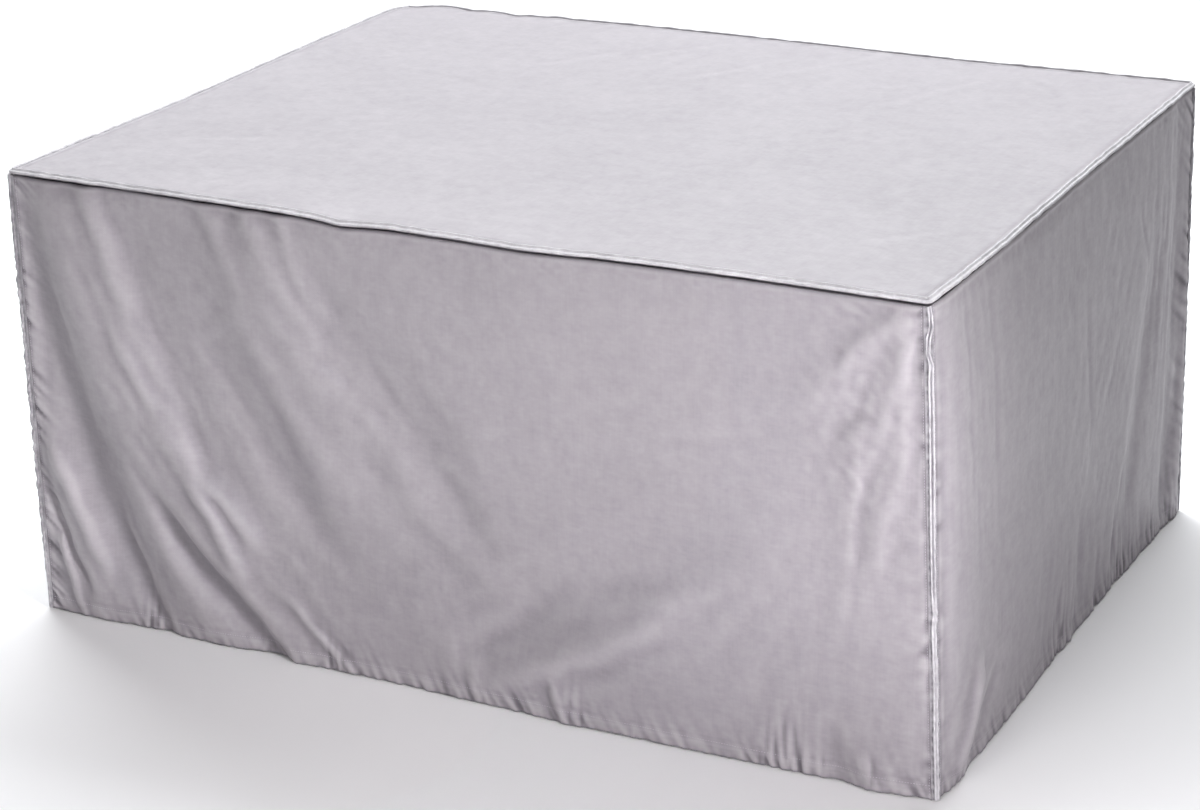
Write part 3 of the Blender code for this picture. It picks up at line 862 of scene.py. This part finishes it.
def skirt_sheet(skirt, cloths):
    """One skirt with its folds, creases, puckers and hem."""
    width = 2 * (half_sizes(0, skirt.turn)[0] - SKIRT_MARGIN)
    across_row = graded(width, SIDE_EDGE, SIDE_EDGE, skirt.steps[0])
    down_row = SKIRT_TOP + graded(DROP - SKIRT_TOP, RIM_EDGE, HEM_EDGE, skirt.steps[1])
    down, side = np.meshgrid(down_row, 2 * across_row / width - 1, indexing="ij")
    x, y, z, across, lift = skirt_places(skirt, side, down)
    waver = hem_waver(skirt, across, down)
    outer = np.stack([x, y, z - waver], axis=-1)
    half = np.s_[::2, ::2]
    x, y, z = skirt_places(skirt, side[half], down[half], -CLOTH - INNER_SLACK, 0.0)[:3]
    inner = np.stack([x, y, z - waver[half]], axis=-1)

    far_edge = across[:, -1:]
    tucks = skirt_puckers(skirt, across, down, far_edge) / TUCK
    # ridges and pucker crests are painted lighter and troughs darker: painted highlight and shade
    # with some wear
    worn = curvature(lift, down_row, across_row) + TUCK_WEAR_AND_HIGHLIGHT * np.clip(tucks, -1, 1)
    # painted shade under the rim, darkest on the front, and beside the corner seams, along the hem
    # and between puckers
    rim_shade = RIM_SHADE if skirt.turn == 0 else FAR_RIM_SHADE
    shade = np.maximum.reduce([
        seam_shade(rim_shade, down - SKIRT_TOP),
        seam_shade(SIDE_SHADE, np.minimum(across, far_edge - across)),
        seam_shade(HEM_SHADE, DROP - down),
        TUCK_SHADE * np.clip(-tucks - 0.3, 0, 1),
    ])
    name = skirt.name.replace("panel", "sheet")
    return panel_piece(name, outer, inner, across, down, (worn, shade), cloths)


def top_sheet(cloths):
    """The top panel, lying flat but for its dips and its fine wrinkles."""
    width, height = LENGTH - 2 * TOP_MARGIN, WIDTH - 2 * TOP_MARGIN
    across_row = graded(width, TOP_EDGE, TOP_EDGE, TOP_STEP)
    down_row = graded(height, TOP_BACK_EDGE, TOP_EDGE, TOP_STEP)
    down, across = np.meshgrid(down_row, across_row, indexing="ij")
    x, y = across - width / 2, height / 2 - down
    z, fine = top_height(x, y)
    outer = np.stack([x, y, z], axis=-1)
    inner = np.stack([x, y, -rim_drop(x, y) - UNDER_SLACK], axis=-1)[::2, ::2]
    edge = np.minimum(np.minimum(across, width - across), np.minimum(down, height - down))
    # the top's ridges are painted lighter and its troughs darker, painted highlight and shade with
    # some wear, and painted shade lies along its edges
    wear_and_shading = curvature(fine, down_row, across_row), seam_shade(TOP_SHADE, edge)
    return panel_piece("top_sheet", outer, inner, across, down, wear_and_shading, cloths)


# ---------------------------------------------------------------- materials
def plug(node, inputs):
    """Gives a node's inputs their values, sockets, or nodes whose first output in use is meant."""
    for socket, value in inputs.items():
        if isinstance(value, bpy.types.Node):
            value = next(given for given in value.outputs if given.enabled)
        if isinstance(value, bpy.types.NodeSocket):
            node.id_data.links.new(value, node.inputs[socket])
        else:
            node.inputs[socket].default_value = value


def add(tree, kind, inputs=None, **settings):
    """A node with its settings and what goes into it."""
    node = tree.nodes.new(kind)
    for name, value in settings.items():
        setattr(node, name, value)
    plug(node, inputs or {})
    return node


def linear(hex_colour):
    """A colour written as sRGB hex, as the linear colour that a shader takes."""
    parts = [int(hex_colour[i : i + 2], 16) / 255 for i in (1, 3, 5)]
    return [p / 12.92 if p <= 0.04045 else ((p + 0.055) / 1.055) ** 2.4 for p in parts] + [1.0]


def per_metre(millimetres):
    """The scale of a pattern that repeats every so many millimetres."""
    return 1000 / millimetres


def new_material(name):
    """A material with an empty tree but for its output and its Principled surface."""
    material = bpy.data.materials.new(name)
    material.use_nodes = True
    tree = material.node_tree
    tree.nodes.clear()
    surface = add(tree, "ShaderNodeBsdfPrincipled")
    add(tree, "ShaderNodeOutputMaterial", {"Surface": surface})
    return material, tree, surface


def coated_polyester(name, light, dark, roughness, on_map):
    """Polyester taffeta with a silver polyurethane coating: a dull, pale, lilac grey lustre.

    The coating is spread by a blade, so it is thicker here and thinner there. Slubs in the yarn
    show through it both ways as faint streaks. Ridges and pucker crests are painted pale and made
    smoother, a painted highlight with some wear. Troughs are painted darker, and painted shade
    lies beside the seams and between the puckers."""
    material, tree, surface = new_material(name)
    if on_map:
        place = add(tree, "ShaderNodeUVMap", uv_map=CLOTH_MAP).outputs["UV"]
    else:
        place = add(tree, "ShaderNodeTexCoord").outputs["Object"]
    worn = add(tree, "ShaderNodeAttribute", attribute_name="worn").outputs["Fac"]
    shade = add(tree, "ShaderNodeAttribute", attribute_name="shade").outputs["Fac"]

    tone = 0.5 - sum(weight for _, _, weight in COATING_PATTERNS) / 2
    for across, down, weight in COATING_PATTERNS:
        scale = (per_metre(across), per_metre(down), per_metre(across))
        stretched = add(tree, "ShaderNodeMapping", {"Vector": place, "Scale": scale})
        grain = {"Vector": stretched, "Scale": 1.0, "Detail": 3.0, "Roughness": 0.55}
        noise = add(tree, "ShaderNodeTexNoise", grain)
        tone = add(tree, "ShaderNodeMath", {0: noise, 1: weight, 2: tone}, operation="MULTIPLY_ADD")
    # ridges and crests lighten the tone and troughs darken it: painted highlight and shade with
    # some wear
    lit_and_rubbed = add(tree, "ShaderNodeMath", {0: worn, 1: 0.42, 2: tone}, operation="MULTIPLY_ADD")
    tone_with_highlight = {0: lit_and_rubbed, 6: linear(dark), 7: linear(light)}
    tone_with_highlight = add(tree, "ShaderNodeMix", tone_with_highlight, data_type="RGBA", clamp_factor=False)
    # painted shade: the colour goes towards the dark shade colour where the shade attribute is high
    with_painted_shade = {0: shade, 6: tone_with_highlight, 7: linear(SEAM_SHADE_COLOUR)}
    with_painted_shade = add(tree, "ShaderNodeMix", with_painted_shade, data_type="RGBA")
    gloss = {"Value": lit_and_rubbed, "To Min": roughness + 0.08, "To Max": roughness - 0.08}
    gloss = add(tree, "ShaderNodeMapRange", gloss)

    parts = add(tree, "ShaderNodeSeparateXYZ", {"Vector": place})
    waves = []
    for axis in ("X", "Y"):
        phase = {0: parts.outputs[axis], 1: math.pi * per_metre(WEAVE_PITCH)}
        phase = add(tree, "ShaderNodeMath", phase, operation="MULTIPLY")
        waves.append(add(tree, "ShaderNodeMath", {0: phase}, operation="SINE"))
    weave = add(tree, "ShaderNodeMath", {0: waves[0], 1: waves[1]}, operation="MULTIPLY")
    height = add(tree, "ShaderNodeMath", {0: weave, 1: 0.18, 2: tone}, operation="MULTIPLY_ADD")
    relief = {"Height": height, "Distance": COATING_RELIEF, "Strength": 1.0}
    bump = add(tree, "ShaderNodeBump", relief)
    plug(surface, {
        "Base Color": with_painted_shade,
        "Roughness": gloss,
        "Metallic": 0.08,
        "IOR": 1.42,
        "Sheen Weight": 0.06,
        "Sheen Roughness": 0.45,
        "Normal": bump,
    })
    return material


def uncoated_back():
    """The bare, woven back of the cloth: matt, a darker grey, with its threads showing."""
    material, tree, surface = new_material("bare_woven_polyester_back")
    place = add(tree, "ShaderNodeUVMap", uv_map=CLOTH_MAP)
    scale = (per_metre(BACK_YARN[0]), per_metre(BACK_YARN[1]), 1.0)
    stretched = add(tree, "ShaderNodeMapping", {"Vector": place, "Scale": scale})
    threads = add(tree, "ShaderNodeTexNoise", {"Vector": stretched, "Scale": 1.0, "Detail": 4.0})
    greys = {0: threads, 6: linear("#7C7A80"), 7: linear("#9A979E")}
    colour = add(tree, "ShaderNodeMix", greys, data_type="RGBA")
    bump = add(tree, "ShaderNodeBump", {"Height": threads, "Distance": COATING_RELIEF})
    plug(surface, {"Base Color": colour, "Normal": bump, "Roughness": 0.85})
    return material


def sewing_thread():
    """Spun polyester thread in the cloth's grey: soft, matt, with its twist just showing."""
    material, tree, surface = new_material("spun_polyester_thread")
    place = add(tree, "ShaderNodeTexCoord").outputs["Object"]
    twist = {"Vector": place, "Scale": per_metre(THREAD_TWIST), "Detail": 2.0}
    twist = add(tree, "ShaderNodeTexNoise", twist)
    greys = {0: twist, 6: linear("#97929A"), 7: linear("#BDB8C0")}
    colour = add(tree, "ShaderNodeMix", greys, data_type="RGBA")
    plug(surface, {"Base Color": colour, "Roughness": 0.60, "Sheen Weight": 0.15})
    return material


def studio_paper():
    """A roll of matt white background paper: even, pale, with the faintest cloudiness."""
    material, tree, surface = new_material("matt_white_paper")
    place = add(tree, "ShaderNodeTexCoord").outputs["Object"]
    clouds = add(tree, "ShaderNodeTexNoise", {"Vector": place, "Scale": 0.8, "Detail": 2.0})
    whites = {0: clouds, 6: linear("#F6F6F7"), 7: linear("#FAFAFB")}
    colour = add(tree, "ShaderNodeMix", whites, data_type="RGBA")
    plug(surface, {"Base Color": colour, "Roughness": 0.95, "Specular IOR Level": 0.1})
    return material


# ---------------------------------------------------------------- geometry nodes
def path_tree(name, sockets, step):
    """A geometry tree with a path in, its named inputs, and the path as a curve in even steps."""
    tree = bpy.data.node_groups.new(name, "GeometryNodeTree")
    tree.interface.new_socket("Path", in_out="INPUT", socket_type="NodeSocketGeometry")
    for label, kind, value in sockets:
        socket = tree.interface.new_socket(label, in_out="INPUT", socket_type="NodeSocket" + kind)
        if value is not None:
            socket.default_value = value
    tree.interface.new_socket("Result", in_out="OUTPUT", socket_type="NodeSocketGeometry")
    given = add(tree, "NodeGroupInput").outputs
    curve = add(tree, "GeometryNodeMeshToCurve", {"Mesh": given["Path"]})
    resampled = {"Curve": curve, "Length": given[step]}
    return tree, given, add(tree, "GeometryNodeResampleCurve", resampled, mode="LENGTH")


def hand_out(tree, geometry, material):
    """Ends a geometry tree: its geometry made real, smooth and in its material."""
    real = add(tree, "GeometryNodeRealizeInstances", {"Geometry": geometry})
    smooth = add(tree, "GeometryNodeSetShadeSmooth", {"Geometry": real})
    dressed = add(tree, "GeometryNodeSetMaterial", {"Geometry": smooth, "Material": material})
    add(tree, "NodeGroupOutput", {"Result": dressed})
    return tree


def stitch_tree():
    """Stitches along a path: short ellipsoids of thread, each a little unlike the next."""
    sockets = [
        ("Pitch", "Float", STITCH_PITCH),
        ("Stitch Length", "Float", STITCH_LENGTH),
        ("Thread Width", "Float", THREAD),
        ("Unevenness", "Float", 0.16),
        ("Seed", "Int", 1),
        ("Thread", "Material", None),
    ]
    tree, given, steps = path_tree("stitches_along_a_seam", sockets, "Pitch")
    tangent = add(tree, "GeometryNodeInputTangent")
    turn = add(tree, "FunctionNodeAlignRotationToVector", {"Vector": tangent}, axis="X")
    ball = add(tree, "GeometryNodeMeshIcoSphere", {"Radius": 0.5, "Subdivisions": 1})
    width = given["Thread Width"]
    size = add(tree, "ShaderNodeCombineXYZ", {"X": given["Stitch Length"], "Y": width, "Z": width})
    least = {0: 1.0, 1: given["Unevenness"]}
    least = add(tree, "ShaderNodeMath", least, operation="SUBTRACT")
    chance = {2: least, 3: 1.0, "Seed": given["Seed"]}
    chance = add(tree, "FunctionNodeRandomValue", chance, data_type="FLOAT")
    scaled = add(tree, "ShaderNodeVectorMath", {0: size, "Scale": chance}, operation="SCALE")
    stitch = {"Points": steps, "Instance": ball, "Rotation": turn, "Scale": scaled}
    return hand_out(tree, add(tree, "GeometryNodeInstanceOnPoints", stitch), given["Thread"])


def welt_tree():
    """A rolled seam swept along a path, puckered where its stitches draw it in."""
    sockets = [
        ("Section", "Object", None),
        ("Station", "Float", STATION),
        ("Pucker Spacing", "Float", 0.010),
        ("Pucker Height", "Float", 0.0004),
        ("Seed", "Int", 1),
        ("Cloth", "Material", None),
    ]
    tree, given, steps = path_tree("rolled_welt", sockets, "Station")
    upright = add(tree, "GeometryNodeSetCurveNormal", {"Curve": steps}, mode="Z_UP")
    drawn = add(tree, "GeometryNodeObjectInfo", {"Object": given["Section"]})
    section = add(tree, "GeometryNodeMeshToCurve", {"Mesh": drawn.outputs["Geometry"]})
    swept = add(tree, "GeometryNodeCurveToMesh", {"Curve": upright, "Profile Curve": section})
    place = add(tree, "GeometryNodeInputPosition")
    pitch = add(tree, "ShaderNodeMath", {0: 1.0, 1: given["Pucker Spacing"]}, operation="DIVIDE")
    noise = {"Vector": place, "W": given["Seed"], "Scale": pitch, "Detail": 1.0}
    noise = add(tree, "ShaderNodeTexNoise", noise, noise_dimensions="4D")
    height = {0: noise, 1: given["Pucker Height"]}
    height = add(tree, "ShaderNodeMath", height, operation="MULTIPLY")
    normal = add(tree, "GeometryNodeInputNormal")
    push = add(tree, "ShaderNodeVectorMath", {0: normal, "Scale": height}, operation="SCALE")
    puckered = add(tree, "GeometryNodeSetPosition", {"Geometry": swept, "Offset": push})
    return hand_out(tree, puckered, given["Cloth"])


def path_mesh(name, paths, closed):
    """Lines of points as a mesh of edges, each line closed to a ring or open."""
    points, edges = [], []
    for path in paths:
        first = len(points)
        points += [tuple(p) for p in path]
        edges += [(k, k + 1) for k in range(first, len(points) - 1)]
        if closed:
            edges.append((len(points) - 1, first))
    mesh = bpy.data.meshes.new(name)
    mesh.from_pydata(points, edges, [])
    return mesh


def grown(name, tree, mesh, values):
    """The plain mesh that a geometry tree makes from a path, with its named inputs set."""
    source = linked_object(name + "_path", mesh)
    modifier = source.modifiers.new("made", "NODES")
    modifier.node_group = tree
    for item in tree.interface.items_tree:
        if item.item_type == "SOCKET" and item.in_out == "INPUT" and item.name in values:
            modifier[item.identifier] = values[item.name]
    depsgraph = bpy.context.evaluated_depsgraph_get()
    result = bpy.data.meshes.new_from_object(
        source.evaluated_get(depsgraph), preserve_all_data_layers=True, depsgraph=depsgraph
    )
    source.modifiers.clear()
    bpy.data.objects.remove(source)
    result.name = name
    return linked_object(name, result)


# ---------------------------------------------------------------- welts
def arc(centre_x, centre_y, radius, from_degrees, to_degrees, steps):
    """Points round part of a circle."""
    angles = np.radians(np.linspace(from_degrees, to_degrees, steps + 1))
    return [(centre_x + radius * math.cos(a), centre_y + radius * math.sin(a)) for a in angles]


def rim_path():
    """Places round the top welt's middle line, sagging and wavering as the rim does."""
    path = []
    for skirt in SKIRTS:
        half_across, half_out = half_sizes(0, skirt.turn)
        half_across -= TOP_WELT_INSET + TOP_WELT_BEND
        out = half_out - TOP_WELT_INSET
        for x in np.linspace(-half_across, half_across, int(2 * half_across / STATION)):
            ends = RIM_WAVER * float(eased((half_across - abs(x)) / RIM_WAVER_FADE))
            waver, rise = (
                ends * float(uneven(np.array(x / spacing), np.array(0.5), skirt.seed + 60 + k))
                for k, spacing in enumerate(RIM_WAVER_SPACINGS)
            )
            sag = float(rim_drop(*turned(x, -half_out, skirt.turn)))
            path.append((*turned(x, -out - waver, skirt.turn), rise - sag))
        for x, y in arc(half_across, TOP_WELT_BEND - out, TOP_WELT_BEND, -90, 0, 6)[1:-1]:
            place = turned(x, y, skirt.turn)
            path.append((*place, -float(rim_drop(*place))))
    return path


def top_welt(tree, cloth):
    """The raised seam all round the top, in one ring."""
    section = arc(*WELT_ROLL, ROLL_RADIUS, -80, 130, 9) + WELT_FLANGE + WELT_NECK
    section = path_mesh("top_welt_section", [[(x, y, 0.0) for x, y in section]], True)
    drawn = linked_object("top_welt_section", section)
    rim = path_mesh("rim", [rim_path()], True)
    welt = grown("top_rolled_welt", tree, rim, {"Section": drawn, "Cloth": cloth, "Seed": 7})
    bpy.data.objects.remove(drawn)
    places = np.zeros(3 * len(welt.data.vertices))
    welt.data.vertices.foreach_get("co", places)
    x, y, z = places.reshape(-1, 3).T
    up = z + rim_drop(x, y)
    out = np.maximum(abs(x) - LENGTH / 2, abs(y) - WIDTH / 2)
    # the roll's outer, upper half is painted pale as a painted highlight, the flange half as much,
    # and a painted shadow lies under the roll, darkest on the front one
    crest = eased((up + 0.0012) / 0.0022) * eased((out + 0.0040) / 0.0030)
    flange = (1 - crest) * eased((up - 0.0014) / 0.0006)
    in_front = eased((-y - WIDTH / 2 + 0.020) / 0.010)
    shadow = eased((-0.0010 - up) / 0.0014) * (0.12 + 0.88 * in_front)
    set_wear_and_shading(welt.data, 1.5 * crest - 0.7 + 0.75 * flange, shadow)
    return welt


def roll_at(rolls, down):
    """The corner's roll at one way down it, between the rows of its table."""
    ways = [roll.down for roll in rolls]
    return Roll(down, *(np.interp(down, ways, column) for column in list(zip(*rolls))[1:]))


def corner_section(roll, side, seed):
    """A corner seam's section at one height: out over the short side and over the long one."""
    unevenness = uneven(BEAD_ANGLES / 60 + 5, roll.down / 0.009 + BEAD_ANGLES / 50, seed)
    lips = roll.valley * (LIP_RISE * LIPS - VALLEY_DEPTH * VALLEY)
    radius = ROLL_SIZE * roll.size + lips + roll.puckers * unevenness
    turn = np.radians(45 + BEAD_ANGLES + roll.lean * np.cos(np.radians(BEAD_ANGLES)))
    stray = roll.stray * side
    bead = ROLL_MIDDLE + np.stack([radius * np.cos(turn) + stray, radius * np.sin(turn) - stray], 1)
    other_half = [(along, out) for out, along in SEAM_FLANGE[::-1]]
    return np.concatenate([SEAM_FLANGE, bead, other_half, [SEAM_INSIDE]])


def corner_wear_and_shading(roll, seed):
    """How far each point of a corner seam's section is lightened, a painted highlight with some
    wear, and how dark it is painted with painted shade at the bead's foot and in its valley.
    """
    crest = roll.valley * LIPS + (1 - roll.valley) * np.cos(np.radians(BEAD_ANGLES))
    foot = eased((abs(BEAD_ANGLES) - 56) / 22)
    patchy = uneven(BEAD_ANGLES / 45, roll.down / 0.008 + BEAD_ANGLES / 60, seed + 1)
    lit_and_rubbed = (roll.worn - BARE_SEAM_LEVEL + 0.7 * patchy) * crest * (1 - foot) + BARE_SEAM_LEVEL
    # dark dashes of painted shade at the bead's foot and on the flanges
    dashes = np.clip(0.55 + 0.9 * uneven(BEAD_ANGLES / 90, roll.down / 0.0075, seed + 2), 0, 1)
    dashes = dashes * (1 + min(roll.worn, 0.0))
    bead = foot * dashes + 0.5 * roll.valley * VALLEY
    flange = np.array(FLANGE_SHADE)
    shade = np.concatenate([flange * dashes[0], bead, flange[::-1] * dashes[-1], [0.0]])
    return np.pad(lit_and_rubbed, (len(flange), len(flange) + 1), constant_values=BARE_SEAM_LEVEL), shade


def corner_welt(name, side_x, side_y, rolls, seed, cloth):
    """The rolled seam down one corner, from under the top's seam to the hem."""
    top = SKIRT_TOP + float(rim_drop(side_x * LENGTH / 2, side_y * WIDTH / 2))
    downs = np.linspace(top, DROP, int((DROP - top) / STATION) + 1)
    points, worn, shade = [], [], []
    for down in downs:
        roll = roll_at(rolls, down)
        half_x, half_y = half_sizes(down, 0)
        section = corner_section(roll, -side_x * side_y, seed)
        for out_x, out_y in section:
            points.append((side_x * (half_x + out_x), side_y * (half_y + out_y), -down))
        station_wear_and_highlight, station_shade = corner_wear_and_shading(roll, seed)
        worn.extend(station_wear_and_highlight)
        shade.extend(station_shade)
    ring = len(section)
    faces = [list(range(ring)), list(range(len(points) - ring, len(points)))]
    for first in range(0, len(points) - ring, ring):
        for k in range(ring):
            one, two = first + k, first + (k + 1) % ring
            faces.append([one, two, two + ring, one + ring])
    mesh = bpy.data.meshes.new(name)
    mesh.from_pydata(points, [], faces)
    mesh.materials.append(cloth)
    set_wear_and_shading(mesh, worn, shade)
    solid = bmesh.new()
    solid.from_mesh(mesh)
    bmesh.ops.recalc_face_normals(solid, faces=solid.faces)
    solid.to_mesh(mesh)
    solid.free()
    shaded(mesh, 60)
    return linked_object(name, mesh)


# ---------------------------------------------------------------- rows of stitches
def skirt_rows(skirt):
    """The rows of stitches on a skirt: one along the hem and one beside each corner."""
    half = half_sizes(0, skirt.turn)[0] - SKIRT_MARGIN
    ends = 1 - HEM_ROW_END / half
    hem_side = np.linspace(-ends, ends, int(2 * half / ROW_STEP))
    up_down = np.linspace(SKIRT_TOP + ROW_END, DROP - ROW_END, int(DROP / ROW_STEP))
    rows = [(hem_side, np.full(hem_side.shape, DROP - HEM_STITCH_RISE))]
    for edge in (-1, 1):
        rows.append((np.full(up_down.shape, edge * (1 - SEAM_STITCH_INSET / half)), up_down))
    return [np.stack(skirt_places(skirt, *row, THREAD_PROUD)[:3], axis=-1) for row in rows]


def top_row():
    """The row of stitches round the top, with small round corners."""
    half_x = LENGTH / 2 - TOP_STITCH_INSET - TOP_ROW_BEND
    half_y = WIDTH / 2 - TOP_STITCH_INSET - TOP_ROW_BEND
    corners = []
    for turn, (side_x, side_y) in enumerate(((1, 1), (-1, 1), (-1, -1), (1, -1))):
        start = 90 * turn
        corners += arc(side_x * half_x, side_y * half_y, TOP_ROW_BEND, start, start + 90, 6)
    points = []
    for (x, y), (x2, y2) in zip(corners, corners[1:] + corners[:1]):
        count = max(1, int(math.hypot(x2 - x, y2 - y) / ROW_STEP))
        for share in np.arange(count) / count:
            points.append((x + (x2 - x) * share, y + (y2 - y) * share))
    x, y = np.array(points).T
    return np.stack([x, y, top_height(x, y)[0] + THREAD_PROUD], axis=-1)


# ---------------------------------------------------------------- studio
def studio():
    """The floor, the soft lights and the photograph's camera."""
    paper = bpy.data.meshes.new("studio_floor")
    corners = [(-1, -1), (1, -1), (1, 1), (-1, 1)]
    level = -DROP - FLOOR_GAP
    places = [(x * FLOOR_REACH, y * FLOOR_REACH, level) for x, y in corners]
    paper.from_pydata(places, [], [(0, 1, 2, 3)])
    paper.materials.append(studio_paper())
    linked_object("studio_floor", paper)

    for box in SOFTBOXES:
        light = bpy.data.lights.new(box.name, "AREA")
        light.size = box.size
        light.spread = math.radians(box.fan)
        light.energy = box.watts
        light.color = linear(box.tint)[:3]
        lamp = linked_object(box.name, light)
        lamp.location = box.place
        way = Vector(box.aim) - Vector(box.place)
        lamp.rotation_euler = way.to_track_quat("-Z", "Y").to_euler()

    world = bpy.data.worlds.new("studio_air")
    world.use_nodes = True
    bpy.context.scene.world = world
    plug(world.node_tree.nodes["Background"], {"Color": linear(AMBIENT_TINT), "Strength": AMBIENT})
    bpy.context.scene.view_settings.view_transform = "Standard"

    azimuth, elevation = math.radians(CAMERA_AZIMUTH), math.radians(CAMERA_ELEVATION)
    flat = math.cos(elevation)
    back = Vector((math.sin(azimuth) * flat, -math.cos(azimuth) * flat, math.sin(elevation)))
    right = Vector((0.0, 0.0, 1.0)).cross(back).normalized()
    right = Matrix.Rotation(math.radians(CAMERA_ROLL), 3, back) @ right
    turned_to = Matrix((right, back.cross(right), back)).transposed().to_4x4()
    camera = linked_object("camera", bpy.data.cameras.new("camera"))
    camera.matrix_world = Matrix.Translation(CAMERA_TARGET + back * CAMERA_DISTANCE) @ turned_to
    camera.data.sensor_width = 36.0
    camera.data.lens = CAMERA_LENS
    camera.data.clip_end = 100.0
    bpy.context.scene.camera = camera


# ---------------------------------------------------------------- the cover
def finished(piece, slot, *nodes):
    """A piece that rides on the cover and stands for its solids, which are hidden. Its slot is not
    used.
    """
    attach(piece, "root")
    if nodes:
        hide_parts(*nodes)
    return piece


def main():
    """The studio and the cover's pieces."""
    studio()
    panel_cloth = coated_polyester("silver_coated_polyester", "#AAA5AA", "#8F8A90", 0.56, True)
    # the seam cloth's light end is near white, for the painted highlight on the welts' crests
    seam_cloth = coated_polyester("silver_coated_seam", "#E6E4E8", "#8E8A90", 0.50, False)
    cloths = panel_cloth, uncoated_back()
    thread = sewing_thread()
    stitches, welts = stitch_tree(), welt_tree()

    rim = finished(top_welt(welts, seam_cloth), "welt_cloth", "top_welt")
    for corner, side_x, side_y, rolls, seed in CORNERS:
        welt = corner_welt("rolled_seam_" + corner, side_x, side_y, rolls, seed, seam_cloth)
        finished(welt, "welt_cloth", "corner_welt_" + corner)

    top = finished(top_sheet(cloths), "coated_cloth", "top_panel")
    path = path_mesh("top_row", [top_row()], True)
    row = grown("top_stitches", stitches, path, {"Thread": thread, "Seed": 3})
    finished(row, "welt_cloth")
    for skirt in SKIRTS:
        panel = finished(skirt_sheet(skirt, cloths), "coated_cloth", skirt.name)
        side = skirt.name.split("_")[0]
        paths = path_mesh(side + "_rows", skirt_rows(skirt), False)
        values = {"Thread": thread, "Seed": skirt.seed}
        row = finished(grown(side + "_stitches", stitches, paths, values), "welt_cloth")


main()
